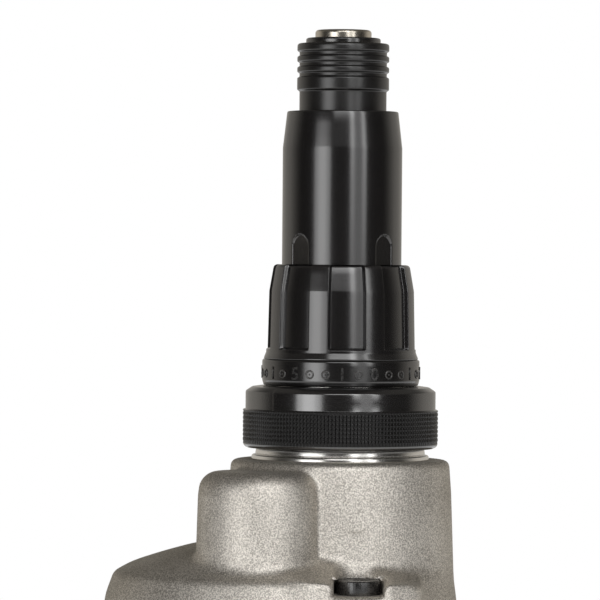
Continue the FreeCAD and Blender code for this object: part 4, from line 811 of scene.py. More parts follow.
@dataclass
class ScaleRing:
    """The depth scale: a black ring with raised ring marks, bars and plain numerals."""

    foot: float = 222.7
    top: float = 227.5
    bore: float = 13.22
    radius: float = 14.55
    taper: float = 0.25
    taper_height: float = 1.0
    run: float = 0.8
    columns: int = 180
    mark_height: float = 224.95
    mark_radius: float = 0.68
    mark_line: float = 0.17
    mark_sides: tuple[int, int] = (20, 8)
    dot_sides: tuple[int, int] = (12, 6)
    marks: int = 30
    first_mark: float = -113.5
    group: int = 5
    bar_at: int = 2
    numeral_at: int = 4
    numeral_height: float = 2.3
    numeral_rise: float = 0.16
    numeral_bevel: float = 0.03
    numeral_cuts: int = 3
    capital_share: float = 0.7

    def turn_of(self, index: int) -> float:
        """Angle of a mark, in radians."""
        return math.radians(self.first_mark + index * 360 / self.marks)

    def mark_tree(self) -> Tree:
        """Build the nodes that set one raised ring with a dot at each point of a carrier.

        Returns:
            A tree with inputs for the ring's radius, its line and the material.
        """
        tree, given = open_tree("raised_scale_marks", {
            "Points": "Geometry", "Mark Radius": "Float", "Line Radius": "Float", "Finish": "Material"})
        path, wire = (out(tree, "GeometryNodeCurvePrimitiveCircle", {
            "Resolution": sides, "Radius": given[label]}, "Curve")
            for sides, label in zip(self.mark_sides, ("Mark Radius", "Line Radius")))
        torus = out(tree, "GeometryNodeCurveToMesh", {"Curve": path, "Profile Curve": wire})
        dot = out(tree, "GeometryNodeMeshUVSphere", {
            "Segments": self.dot_sides[0], "Rings": self.dot_sides[1],
            "Radius": given["Line Radius"]}, "Mesh")
        mark = add(tree, "GeometryNodeJoinGeometry")
        tree.links.new(torus, mark.inputs[0])
        tree.links.new(dot, mark.inputs[0])
        smooth = out(tree, "GeometryNodeSetShadeSmooth", {0: mark.outputs[0]})
        spot = out(tree, "GeometryNodeInputPosition")
        outward = out(tree, "ShaderNodeVectorMath", {0: spot, 1: ACROSS}, operation="MULTIPLY")
        facing = out(tree, "FunctionNodeAlignRotationToVector", {"Vector": outward}, axis="Z")
        placed = out(tree, "GeometryNodeInstanceOnPoints", {
            "Points": given["Points"], "Instance": smooth, "Rotation": facing})
        return close_tree(tree, placed, given["Finish"])

    def numeral(self, index: int, sign: str) -> bpy.types.Mesh:
        """Wrap a raised sign on the ring.

        Args:
            index: The mark whose place it takes.
            sign: The numeral, or a letter that stands for a bar.

        Returns:
            Its mesh.
        """
        text = bpy.data.curves.new("numeral", "FONT")
        text.body = sign
        text.align_x = "CENTER"
        text.align_y = "CENTER"
        text.size = self.numeral_height * MM / self.capital_share
        text.extrude = self.numeral_rise * MM
        text.bevel_depth = self.numeral_bevel * MM
        text.resolution_u = self.numeral_cuts
        holder = show("numeral", text)
        mesh = plain_mesh(holder)
        bpy.data.objects.remove(holder)
        for vertex in mesh.vertices:
            turn = self.turn_of(index) + vertex.co.x / (self.radius * MM)
            reach = self.radius * MM + vertex.co.z
            rise = self.mark_height * MM + vertex.co.y
            vertex.co = (reach * math.cos(turn), reach * math.sin(turn), rise)
        mesh.materials.clear()
        mesh.materials.append(BLACK_OXIDE_ROUGH.material())
        return mesh

    def build(self) -> None:
        """Make the ring, its marks and its numerals, and let them turn with the sleeve."""
        corners = [(self.bore, self.foot, 0.15), (self.radius - self.taper, self.foot, 0.4),
                   (self.radius, self.foot + self.taper_height, 0.5), (self.radius, self.top, 0.45),
                   (self.bore, self.top, 0.1)]
        shell = revolve(soften(corners, self.run), ring_of(self.columns))
        ring = piece("scale_ring_marked", shell, BLACK_OXIDE)
        signs = [index for index in range(self.marks)
                 if index % self.group in (self.bar_at, self.numeral_at)]
        spots = [(self.radius * math.cos(self.turn_of(index)), self.radius * math.sin(self.turn_of(index)),
                  self.mark_height) for index in range(self.marks) if index not in signs]
        marks = run_tree("scale_marks", spots, self.mark_tree(), {
            "Mark Radius": self.mark_radius * MM, "Line Radius": self.mark_line * MM,
            "Finish": BLACK_OXIDE_ROUGH.material()})
        settle(ring, "adjuster", "black_oxide_steel", "scale_ring")
        settle(marks, "adjuster", "black_oxide_steel")
        for count, index in enumerate(signs):
            sign = "I" if index % self.group == self.bar_at else str(index // self.group)
            made = show(f"scale_numeral_{count}", self.numeral(index, sign))
            settle(made, "adjuster", "black_oxide_steel")


@dataclass
class Neck:
    """The turned neck: a flared foot on the gear case, and a keyed tube up inside the collars."""

    foot: float = 201.0
    spigot: float = 15.0
    shoulder: float = 209.0
    flange: Pair = (16.45, 16.35)
    flange_height: float = 0.85
    groove: float = 15.5
    groove_height: float = 0.95
    ring: Pair = (15.7, 15.55)
    ring_rows: Pair = (1.1, 2.0)
    bush: float = 9.0
    bush_top: float = 217.0
    bore: float = 11.1
    tube: float = 12.3
    tube_top: float = 228.5
    run: float = 2.0
    columns: int = 144
    keys: int = 4
    key_width: float = 3.4
    key_radius: float = 10.83
    touch: float = 0.01

    def keyed(self, radius: np.ndarray, height: np.ndarray, turn: np.ndarray) -> np.ndarray:
        """Raise the keys inside the bore, along its whole length.

        Args:
            radius: Radius of each point.
            height: Height of each point.
            turn: Angle of each point.

        Returns:
            The new radius of each point.
        """
        pitch = 2 * math.pi / self.keys
        across = np.abs(self.bore * np.sin(turn % pitch - pitch / 2))
        inside = (np.abs(radius - self.bore) < self.touch) & (across < self.key_width / 2)
        return np.where(inside, self.key_radius, radius)

    def build(self) -> None:
        """Turn the neck and fix it to the housing."""
        ring_foot, ring_top = (self.shoulder + rise for rise in self.ring_rows)
        corners = [(self.bush, self.foot, 0.0), (self.spigot, self.foot, 0.3),
                   (self.spigot, self.shoulder, 0.0), (self.flange[0], self.shoulder, 0.15),
                   (self.flange[1], self.shoulder + self.flange_height, 0.4),
                   (self.groove, self.shoulder + self.groove_height, 0.1),
                   (self.ring[0], ring_foot, 0.15), (self.ring[1], ring_top, 0.2),
                   (self.tube, ring_top, 0.0), (self.tube, self.tube_top, 0.2),
                   (self.bore, self.tube_top, 0.0), (self.bore, self.bush_top, 0.0),
                   (self.bush, self.bush_top, 0.0)]
        shell = revolve(soften(corners, self.run), ring_of(self.columns), self.keyed)
        made = piece("neck_turned", shell, TURNED_ALUMINIUM)
        settle(made, "housing", "machined_aluminium", "neck_bush")


@dataclass
class LockCollar:
    """The collar that locks the depth stop: a bevelled top over a band of straight dotted knurls."""

    foot: float = 211.1
    bore: float = 12.35
    band: float = 18.05
    band_top: float = 7.1
    waist: float = 17.58
    waist_slope: float = 0.15
    bevel_foot: float = 10.5
    bevel_radius: float = 16.4
    bevel_top: float = 11.3
    land: float = 14.9
    top: float = 11.5
    run: float = 1.5
    lining: float = 1.0
    touch: float = 0.05
    columns: int = 166
    cuts: int = 6
    row_cuts: int = 4
    row_pitch: float = 0.78
    row_clear: float = 0.5
    knurl_foot: float = 1.25
    knurl_top: float = 6.75
    foot_fade: float = 0.4
    top_fade: float = 0.3
    depth: float = 0.18
    stud_share: float = 1.5
    row_share: float = 0.65
    crease: float = 60.0

    def relief(self, radius: np.ndarray, height: np.ndarray, turn: np.ndarray) -> np.ndarray:
        """Cut the band into rows and columns of flat-topped studs.

        Args:
            radius: Radius of each point.
            height: Height of each point.
            turn: Angle of each point.

        Returns:
            The new radius of each point.
        """
        rise = height - self.foot
        across = np.abs(np.sin(turn * self.columns / 2))
        along = np.abs(np.sin((rise - self.knurl_foot) * math.pi / self.row_pitch))
        rows = 1 - self.row_share * (1 - np.minimum(self.stud_share * along, 1))
        stud = np.minimum(self.stud_share * across, 1) * rows
        band = (ease((rise - self.knurl_foot + self.foot_fade) / self.foot_fade)
                * ease((self.knurl_top - rise + self.top_fade) / self.top_fade))
        return np.where(radius > self.waist - self.lining, radius - self.depth * (1 - stud) * band, radius)

    def outline(self) -> np.ndarray:
        """Draw the collar's outline, with rows across the band that follow the studs.

        Returns:
            Radius and height of each point.
        """
        corners = soften([
            (self.bore, 0.0, 0.2), (self.band, 0.0, 1.3), (self.band, self.band_top, 0.25),
            (self.waist, self.band_top + self.waist_slope, 0.1), (self.waist, self.bevel_foot, 0.5),
            (self.bevel_radius, self.bevel_top, 0.9), (self.land, self.top, 0.2),
            (self.bore, self.top, 0.2)])
        step = self.row_pitch / self.row_cuts
        rows = []
        for here, ahead in zip(corners, np.roll(corners, -1, axis=0)):
            if min(here[0], ahead[0]) > self.band - self.touch and ahead[1] - here[1] > self.row_pitch:
                first = math.ceil((here[1] - self.knurl_foot) / step + self.row_clear)
                last = math.floor((ahead[1] - self.knurl_foot) / step - self.row_clear)
                rows += [here] + [np.array((self.band, self.knurl_foot + row * step))
                                  for row in range(first, last + 1)]
                continue
            parts = max(1, math.ceil(np.linalg.norm(ahead - here) / self.run))
            rows += [here + (ahead - here) * part / parts for part in range(parts)]
        return np.array(rows)

    def build(self) -> None:
        """Turn the collar, knurl it and let it turn on the neck."""
        turns = ring_of(self.columns * self.cuts)
        shell = revolve(self.outline() + (0.0, self.foot), turns, self.relief)
        made = piece("lock_collar_knurled", shell, BUFFED_OXIDE, self.crease)
        made.data.materials.append(KNURLED_OXIDE.material())
        for face in made.data.polygons:
            rise = face.center.z / MM - self.foot
            outside = math.hypot(face.center.x, face.center.y) > (self.waist - self.lining) * MM
            face.material_index = int(outside and self.knurl_foot - self.foot_fade < rise < self.band_top)
        settle(made, "lock", "black_oxide_steel", "lock_collar")


# A distance well inside any piece
FAR_INSIDE = -100.0


def soft_union(one: np.ndarray, two: np.ndarray, blend: float) -> np.ndarray:
    """Join two distance fields with a fillet about as wide as the blend."""
    share = np.clip(0.5 + 0.5 * (two - one) / blend, 0, 1)
    return two + (one - two) * share - blend * share * (1 - share)


def soft_overlap(one: np.ndarray, two: np.ndarray, blend: float) -> np.ndarray:
    """Keep what two distance fields share, with a rounded edge."""
    return -soft_union(-one, -two, blend)


def post(at: np.ndarray, x: float, y: float, radius: float | np.ndarray, low: float, high: float,
         rounding: float = 0.0) -> np.ndarray:
    """Distance to an upright post.

    Args:
        at: Points, with X, Y and Z last.
        x: Place of its axis along X.
        y: Place of its axis along Y.
        radius: Its radius, which may vary with height.
        low: Its foot.
        high: Its top.
        rounding: Rounding of its ends.

    Returns:
        The distance of each point, below 0 inside.
    """
    side = np.hypot(at[..., 0] - x, at[..., 1] - y) - radius + rounding
    ends = np.abs(at[..., 2] - (low + high) / 2) - (high - low) / 2 + rounding
    outside = np.hypot(np.maximum(side, 0), np.maximum(ends, 0))
    return outside + np.minimum(np.maximum(side, ends), 0) - rounding


# How often a point of a skin is pulled to the surface
PULLS = 6
# How far it may go from the middle of its cell, in cells
LEASH = 0.6
# Keeps a place without slope from dividing by 0
NO_SLOPE = 1e-9


def skin(form: Callable[[np.ndarray], np.ndarray], low: Place, high: Place, step: float) -> Shell:
    """Cover a distance field with an even skin of quads.

    Args:
        form: Gives the distance of points to the surface.
        low: Lowest corner of the field.
        high: Highest corner of the field.
        step: Size of the quads.

    Returns:
        The points and faces of the skin.
    """
    axes = [np.arange(a, b + step, step) for a, b in zip(low, high)]
    grid = np.stack(np.meshgrid(*axes, indexing="ij"), axis=-1)
    inside = form(grid) < 0
    cells = tuple(size - 1 for size in inside.shape)
    count = np.zeros(cells, dtype=int)
    for shift in np.ndindex(2, 2, 2):
        count += inside[tuple(slice(s, s + n) for s, n in zip(shift, cells))]
    mixed = (count > 0) & (count < 8)
    index = np.full(cells, -1)
    index[mixed] = np.arange(int(mixed.sum()))
    centre = grid[:-1, :-1, :-1][mixed] + step / 2
    points = centre.copy()
    for _ in range(PULLS):
        value = form(points)
        slope = np.stack([(form(points + offset) - form(points - offset)) / (step / 4)
                          for offset in np.eye(3) * step / 8], axis=-1)
        push = (slope ** 2).sum(axis=-1) + NO_SLOPE
        points = points - slope * (value / push)[:, None]
        points = np.clip(points, centre - LEASH * step, centre + LEASH * step)
    faces: list[tuple[int, ...]] = []
    for axis in range(3):
        one, two = np.roll(np.eye(3, dtype=int), -axis - 1, axis=0)[:2]
        both = one + two
        ahead = tuple(slice(1, None) if way == axis else slice(None) for way in range(3))
        here = tuple(slice(None, -1) if way == axis else slice(None) for way in range(3))
        edges = np.argwhere(inside[here] != inside[ahead])
        edges = edges[((edges + both > both) | (both == 0)).all(axis=1)]
        edges = edges[((edges < np.array(cells)) | (both == 0)).all(axis=1)]
        around = np.stack([index[tuple((edges - back).T)] for back in (0 * one, one, both, two)], axis=1)
        inward = inside[tuple(edges.T)]
        around[~inward] = around[~inward][:, ::-1]
        faces += [tuple(loop) for loop in around.tolist()]
    return points, faces


@dataclass
class GearCase:
    """The cast gear case: a drafted barrel, a layshaft boss and a low foot, blended as a casting is.

    A draft pairs heights with radii, and a bore is a radius with its foot and its top.
    """

    foot: float = 162.0
    top: float = 209.0
    foot_x: float = -11.0
    foot_line: tuple[Pair, ...] = ((33.4, 162.0), (32.35, 183.5), (30.75, 187.9), (28.4, 189.4),
                                   (24.5, 190.9), (15.5, 193.4), (0.0, 194.6))
    foot_rounding: float = 0.5
    foot_fillet: float = 1.6
    barrel_draft: Rows = ((162.0, 183.0, 203.0, 209.0), (21.9, 21.35, 20.6, 20.15))
    barrel_rounding: float = 1.2
    boss_at: Pair = (-14.65, -16.15)
    boss_draft: Rows = ((162.0, 190.0, 203.0, 207.4), (11.8, 11.6, 11.25, 10.7))
    boss_top: float = 207.4
    boss_rounding: float = 3.0
    boss_fillet: float = 1.1
    lug_x: float = -48.8
    lug_radius: float = 6.0
    lug_top: float = 177.0
    lug_rounding: float = 0.8
    lug_fillet: float = 1.6
    web_half: float = 4.0
    web_fillet: float = 0.3
    screws: tuple[Pair, ...] = ((3.2, -24.5), (3.2, 24.5), (-25.2, 24.5))
    notch_radius: float = 4.4
    notch_rounding: float = 1.5
    pocket_floor: float = 185.8
    pocket_sill: float = 188.4
    pocket_top: float = 196.0
    flue_radius: float = 3.7
    lobe_wides: tuple[float, ...] = (11.5, 6.8, 6.8)
    lobe_deep: float = 7.2
    lobe_round: float = 3.4
    lobe_reach: float = 36.6
    lobe_rim: float = 1.5
    lobe_flat: float = 9.0
    lobe_slope: float = 0.25
    lobe_edge: float = 0.8
    lobe_foot: float = 168.0
    lobe_fade: float = 9.0
    pad_top: float = 188.0
    pad_blend: float = 3.0
    layshaft: Pair = (-14.818, -17.59)
    motor_bores: Rows = ((30.02, 150.0, 170.0), (7.22, 169.0, 182.0))
    spindle_bores: Rows = ((17.9, 169.0, 192.4), (10.5, 185.0, 202.0), (15.02, 201.0, 220.0))
    layshaft_bores: Rows = ((13.22, 169.0, 180.5), (7.9, 169.0, 195.9), (5.52, 195.0, 202.4))
    hole: float = 2.55
    hole_foot: float = 150.0
    hole_over: float = 1.0
    lug_hole_top: float = 190.0
    low: Place = (-56.0, -34.6, 160.7)
    high: Place = (23.2, 34.6, 210.4)
    quad: float = 0.52
    crease: float = 50.0

    def outside(self, at: np.ndarray) -> np.ndarray:
        """Distance to the outer form of the casting.

        Args:
            at: Points, with X, Y and Z last.

        Returns:
            The distance of each point, below 0 inside.
        """
        x, y, z = at[..., 0], at[..., 1], at[..., 2]
        barrel = post(at, 0.0, 0.0, np.interp(z, *self.barrel_draft), self.foot, self.top,
                      self.barrel_rounding)
        boss = post(at, *self.boss_at, np.interp(z, *self.boss_draft), self.foot, self.boss_top,
                    self.boss_rounding)
        reach = np.hypot(x - self.foot_x, y)
        base = np.full(z.shape, FAR_INSIDE)
        for (reach_one, z_one), (reach_two, z_two) in zip(self.foot_line, self.foot_line[1:]):
            run, drop = reach_one - reach_two, z_two - z_one
            face = ((reach - reach_one) * drop + (z - z_one) * run) / math.hypot(run, drop)
            base = soft_overlap(base, face, self.foot_rounding)
        lug = post(at, self.lug_x, 0.0, self.lug_radius, self.foot, self.lug_top, self.lug_rounding)
        web = np.maximum(np.abs(y) - self.lug_radius, np.abs(x - self.lug_x - self.web_half) - self.web_half)
        lug = soft_union(lug, np.maximum(web, np.maximum(z - self.lug_top, self.foot - z)), self.web_fillet)
        for place, wide in zip(self.screws, self.lobe_wides):
            base = soft_union(base, self.lobe(at, *place, wide), self.pad_blend)
        body = soft_union(soft_union(barrel, boss, self.boss_fillet), base, self.foot_fillet)
        body = soft_union(body, lug, self.lug_fillet)
        for place in self.screws:
            body = soft_overlap(body, -self.notch(at, *place), self.notch_rounding)
        widest = self.foot_line[0][0]
        body = np.maximum(body, np.maximum(np.abs(y) - widest, x - self.foot_x - widest))
        return np.maximum(body, np.maximum(self.foot - z, z - self.top))

    def lobe(self, at: np.ndarray, x: float, y: float, wide: float) -> np.ndarray:
        """Distance to the square-shouldered lobe that carries a screw.

        Args:
            at: Points, with X, Y and Z last.
            x: Place of the screw along X.
            y: Place of the screw along Y.
            wide: Half the width of the lobe.

        Returns:
            The distance of each point, below 0 inside.
        """
        half = np.array((wide, self.lobe_deep)) - self.lobe_round
        over = np.maximum(np.abs(at[..., :2] - (x, y)) - half, 0)
        plan = np.hypot(over[..., 0], over[..., 1]) - self.lobe_round
        rim = np.hypot(at[..., 0] - self.foot_x, at[..., 1]) - self.lobe_reach
        plan = soft_overlap(plan, rim, self.lobe_rim)
        outward = np.maximum(np.sign(x - self.foot_x) * (at[..., 0] - x) - self.lobe_flat, 0)
        roof = at[..., 2] - self.pad_top + self.lobe_slope * outward
        lobe = soft_overlap(plan, roof, self.lobe_edge)
        return soft_overlap(lobe, self.lobe_foot - at[..., 2], self.lobe_fade)

    def notch(self, at: np.ndarray, x: float, y: float) -> np.ndarray:
        """Distance to the round-backed notch of a screw head, open to the outside.

        Args:
            at: Points, with X, Y and Z last.
            x: Place of the screw along X.
            y: Place of the screw along Y.

        Returns:
            The distance of each point, below 0 inside.
        """
        inward = np.minimum(np.sign(y) * (at[..., 1] - y), 0)
        across = np.hypot(at[..., 0] - x, inward)
        room = np.maximum(across - self.notch_radius, at[..., 2] - self.pocket_sill)
        flue = np.maximum(across - self.flue_radius, at[..., 2] - self.pocket_top)
        return np.maximum(np.minimum(room, flue), self.pocket_floor - at[..., 2])

    def form(self, at: np.ndarray) -> np.ndarray:
        """Distance to the casting with its round rooms cut out.

        Args:
            at: Points, with X, Y and Z last.

        Returns:
            The distance of each point, below 0 inside.
        """
        body = self.outside(at)
        lug_hole = (self.hole, self.hole_foot, self.lug_hole_top)
        screw_hole = (self.hole, self.hole_foot, self.pocket_floor + self.hole_over)
        for place, bores in (((self.foot_x, 0.0), self.motor_bores), ((0.0, 0.0), self.spindle_bores),
                             (self.layshaft, self.layshaft_bores), ((self.lug_x, 0.0), (lug_hole,)),
                             *((place, (screw_hole,)) for place in self.screws)):
            for radius, low, high in bores:
                body = np.maximum(body, -post(at, *place, radius, low, high))
        return body

    def build(self) -> None:
        """Skin the casting and fix it to the housing."""
        shell = skin(self.form, self.low, self.high, self.quad)
        made = piece("gear_case_cast", shell, BLASTED_ALUMINIUM, self.crease)
        settle(made, "housing", "cast_aluminium", "gear_housing")


@dataclass
class CapScrews:
    """Socket head cap screws that stand on the seats of the gear case."""

    case: GearCase
    long_shank: float = 31.8
    short_shank: float = 23.0
    shank_radius: float = 2.5
    chamfer: float = 0.5
    head_radius: float = 4.0
    head_height: float = 2.6
    mouth_radius: float = 2.75
    mouth_depth: float = 0.3
    socket_radii: Pair = (2.35, 2.3)
    socket_flats: float = 4.0
    socket_depth: float = 1.3
    socket_walls: Pair = (1.0, 2.4)
    socket_clear: float = 0.5
    drill_depth: float = 0.4
    knurls: int = 48
    knurl_depth: float = 0.05
    knurl_foot: float = 0.4
    knurl_gap: float = 0.5
    touch: float = 0.02
    cuts: int = 4
    columns: int = 144
    crease: float = 30.0
    seed: int = 7

    def grip(self, radius: np.ndarray, height: np.ndarray, turn: np.ndarray) -> np.ndarray:
        """Give the head its knurl and its hexagon socket.

        Args:
            radius: Radius of each point.
            height: Height of each point over the seat.
            turn: Angle of each point.

        Returns:
            The new radius of each point.
        """
        sixth = math.pi / 3
        hexagon = self.socket_flats / 2 / np.cos((turn + sixth / 2) % sixth - sixth / 2)
        least, most = self.socket_walls
        inner = (radius > least) & (radius < most) & (height > self.socket_clear)
        edge = ((radius > self.head_radius - self.touch) & (height > self.knurl_foot)
                & (height < self.head_height - self.knurl_gap))
        knurl = self.knurl_depth * np.abs(np.sin(turn * self.knurls / 2))
        return np.where(inner, hexagon, np.where(edge, radius - knurl, radius))

    def screw(self, shank: float) -> Shell:
        """Turn one screw, standing on its seat.

        Args:
            shank: Length under the head.

        Returns:
            The points and faces of the screw.
        """
        floor = self.head_height - self.socket_depth
        corners = [(0.0, -shank, 0.0), (self.shank_radius - self.chamfer, -shank, 0.0),
                   (self.shank_radius, self.chamfer - shank, 0.0), (self.shank_radius, 0.0, 0.0),
                   (self.head_radius, 0.0, 0.15), (self.head_radius, self.head_height, 0.9),
                   (self.mouth_radius, self.head_height, 0.2),
                   (self.socket_radii[0], self.head_height - self.mouth_depth, 0.0),
                   (self.socket_radii[1], floor, 0.0), (0.0, floor - self.drill_depth, 0.0)]
        return revolve(soften(corners, cuts=self.cuts), ring_of(self.columns), self.grip)

    def tree(self) -> Tree:
        """Build the nodes that stand a fastener on each seat, each turned by chance.

        Returns:
            A tree with inputs for the fastener, the seed and the material.
        """
        tree, given = open_tree("fasteners_on_seats", {
            "Seats": "Geometry", "Fastener": "Object", "Seed": "Int", "Finish": "Material"})
        shape = out(tree, "GeometryNodeObjectInfo", {"Object": given["Fastener"]}, "Geometry")
        chance = out(tree, "FunctionNodeRandomValue", {
            0: (0.0, 0.0, 0.0), 1: (0.0, 0.0, 2 * math.pi), "Seed": given["Seed"]}, data_type="FLOAT_VECTOR")
        turned = out(tree, "FunctionNodeEulerToRotation", {0: chance})
        placed = out(tree, "GeometryNodeInstanceOnPoints", {
            "Points": given["Seats"], "Instance": shape, "Rotation": turned})
        return close_tree(tree, placed, given["Finish"])

    def build(self) -> None:
        """Make the screws and fix them to the housing."""
        tree = self.tree()
        foot_seats = [(*place, self.case.pocket_floor) for place in self.case.screws]
        lug_seat = (self.case.lug_x, 0.0, self.case.lug_top)
        for name, seats, shank in (("gear_case_screws_long", foot_seats, self.long_shank),
                                   ("gear_case_screw_short", [lug_seat], self.short_shank)):
            pattern = piece(name + "_pattern", self.screw(shank), BLACK_OXIDE_ROUGH, self.crease)
            made = run_tree(name, seats, tree, {
                "Fastener": pattern, "Seed": self.seed, "Finish": BLACK_OXIDE_ROUGH.material()})
            bpy.data.objects.remove(pattern)
            settle(made, "housing", "black_oxide_steel", "gear_housing_screws")


@dataclass(frozen=True)
class Coil:
    """A round wire spring that rides on one body; in the tool, one joint shortens it towards its fixed end.
    """

    node: str
    body: str
    joint: str
    wire: float
    turns: float
    fixed: float
    travel: float = 3.0
    columns: int = 48
    sides: int = 12

    def wound(self) -> Shell:
        """Wind the wire to fill the box of its CAD node.

        Returns:
            The points and faces of the spring.
        """
        low, high = (np.array(corner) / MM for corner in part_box(self.node))
        half = self.wire / 2
        count = round(self.columns * self.turns) + 1
        turn = np.linspace(0, 2 * math.pi * self.turns, count)[:, None]
        around = ring_of(self.sides)[None, :]
        reach = (high[0] - low[0] - self.wire) / 2 + half * np.cos(around)
        rise = np.linspace(low[2] + half, high[2] - half, count)[:, None] + half * np.sin(around)
        points = np.stack((reach * np.cos(turn), reach * np.sin(turn), rise), axis=-1).reshape(-1, 3)
        index = np.arange(len(points)).reshape(count, self.sides)
        faces = [tuple(index[0].tolist()), tuple(index[-1][::-1].tolist())]
        for one, two in zip(index, index[1:]):
            faces += [(int(one[side]), int(two[side]), int(two[side - 1]), int(one[side - 1]))
                      for side in range(self.sides)]
        return points, faces

    def build(self) -> None:
        """Make the spring and let it ride on its body."""
        made = piece(self.node + "_coil", self.wound(), GROUND_STEEL)
        settle(made, self.body, "bright_steel", self.node)
        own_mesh(made)


@dataclass
class GripPips:
    """Moulded pips on the flat sides of the handle, clear of its screws and controls."""

    face: float = 16.0
    middle: Pair = (-113.0, 18.0)
    columns: int = 16
    rows: int = 4
    pitch: float = 4.0
    radius: float = 1.35
    rise: float = 0.65
    root: float = 0.4
    crown_share: float = 0.6
    crown_rounding: float = 0.5
    cuts: int = 3
    sides: int = 14
    clear: float = 6.6
    controls: tuple[Pair, ...] = ((-140.0, 7.0), (-112.0, 25.5), (-88.0, 7.0), (-92.0, 22.0))
    # A spot far from the pips, for the side that has no controls
    far_spot: tuple[Pair, ...] = ((0.0, 0.0),)

    def pip(self) -> Shell:
        """Turn one low dome with its root below the face.

        Returns:
            The points and faces of the pip.
        """
        corners = [(0.0, -self.root, 0.0), (self.radius, -self.root, 0.0), (self.radius, 0.0, 0.0),
                   (self.crown_share * self.radius, self.rise, self.crown_rounding), (0.0, self.rise, 0.0)]
        return revolve(soften(corners, cuts=self.cuts), ring_of(self.sides))

    def tree(self) -> Tree:
        """Build the nodes that set pips in staggered rows, away from the spots to keep clear.

        Returns:
            A tree with inputs for the pip, its rows, their place and turn, the clearance and the
            material.
        """
        tree, given = open_tree("staggered_pips", {
            "Spots": "Geometry", "Pip": "Object", "Columns": "Int", "Rows": "Int", "Pitch": "Float",
            "Middle": "Vector", "Turn": "Vector", "Clear": "Float", "Finish": "Material"})
        joined = add(tree, "GeometryNodeJoinGeometry")
        for fewer in (0, 1):
            counts = [calc(tree, "SUBTRACT", given[label], fewer) for label in ("Columns", "Rows")]
            sizes = [calc(tree, "MULTIPLY", calc(tree, "SUBTRACT", count, 1), given["Pitch"])
                     for count in counts]
            grid = out(tree, "GeometryNodeMeshGrid", {
                "Size X": sizes[0], "Size Y": sizes[1], "Vertices X": counts[0], "Vertices Y": counts[1]})
            tree.links.new(grid, joined.inputs[0])
        stood = out(tree, "GeometryNodeTransform", {
            "Geometry": joined.outputs[0], "Translation": given["Middle"], "Rotation": given["Turn"]})
        near = out(tree, "GeometryNodeProximity", {0: given["Spots"]}, "Distance", target_element="POINTS")
        away = out(tree, "FunctionNodeCompare", {0: near, 1: given["Clear"]}, data_type="FLOAT",
                   operation="GREATER_THAN")
        shape = out(tree, "GeometryNodeObjectInfo", {"Object": given["Pip"]}, "Geometry")
        turned = out(tree, "FunctionNodeEulerToRotation", {0: given["Turn"]})
        placed = out(tree, "GeometryNodeInstanceOnPoints", {
            "Points": stood, "Selection": away, "Instance": shape, "Rotation": turned})
        return close_tree(tree, placed, given["Finish"])

    def build(self) -> None:
        """Set the pips on both sides of the handle."""
        tree = self.tree()
        for name, side, controls in (("grip_pips_left", -1, self.controls),
                                     ("grip_pips_right", 1, self.far_spot)):
            pattern = piece(name + "_pattern", self.pip(), MOULDED_NYLON)
            spots = [(x, side * self.face, z) for x, z in controls]
            made = run_tree(name, spots, tree, {
                "Pip": pattern, "Columns": self.columns, "Rows": self.rows, "Pitch": self.pitch * MM,
                "Middle": (self.middle[0] * MM, side * self.face * MM, self.middle[1] * MM),
                "Turn": (-side * math.pi / 2, 0.0, 0.0), "Clear": self.clear * MM,
                "Finish": MOULDED_NYLON.material()})
            bpy.data.objects.remove(pattern)
            settle(made, "housing", "housing_nylon")


@dataclass
class CarriedNodes:
    """CAD nodes that keep their shape and take a finish from their material slot."""

    polished: tuple[str, ...] = ("chuck_cap",)

    def dress(self) -> None:
        """Give every CAD node the finish of its slot."""
        for name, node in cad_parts.items():
            for slot in node.material_slots:
                finish = FINISH_OF_SLOT.get(slot.material.name.split(".")[0] if slot.material else "")
                if name in self.polished:
                    finish = BLACK_OXIDE
                if finish:
                    slot.material = finish.material()
                else:
                    LOG.warning("%s has no finish for its slot %s", name, slot.material)
            LOG.info("%s: dressed", name)


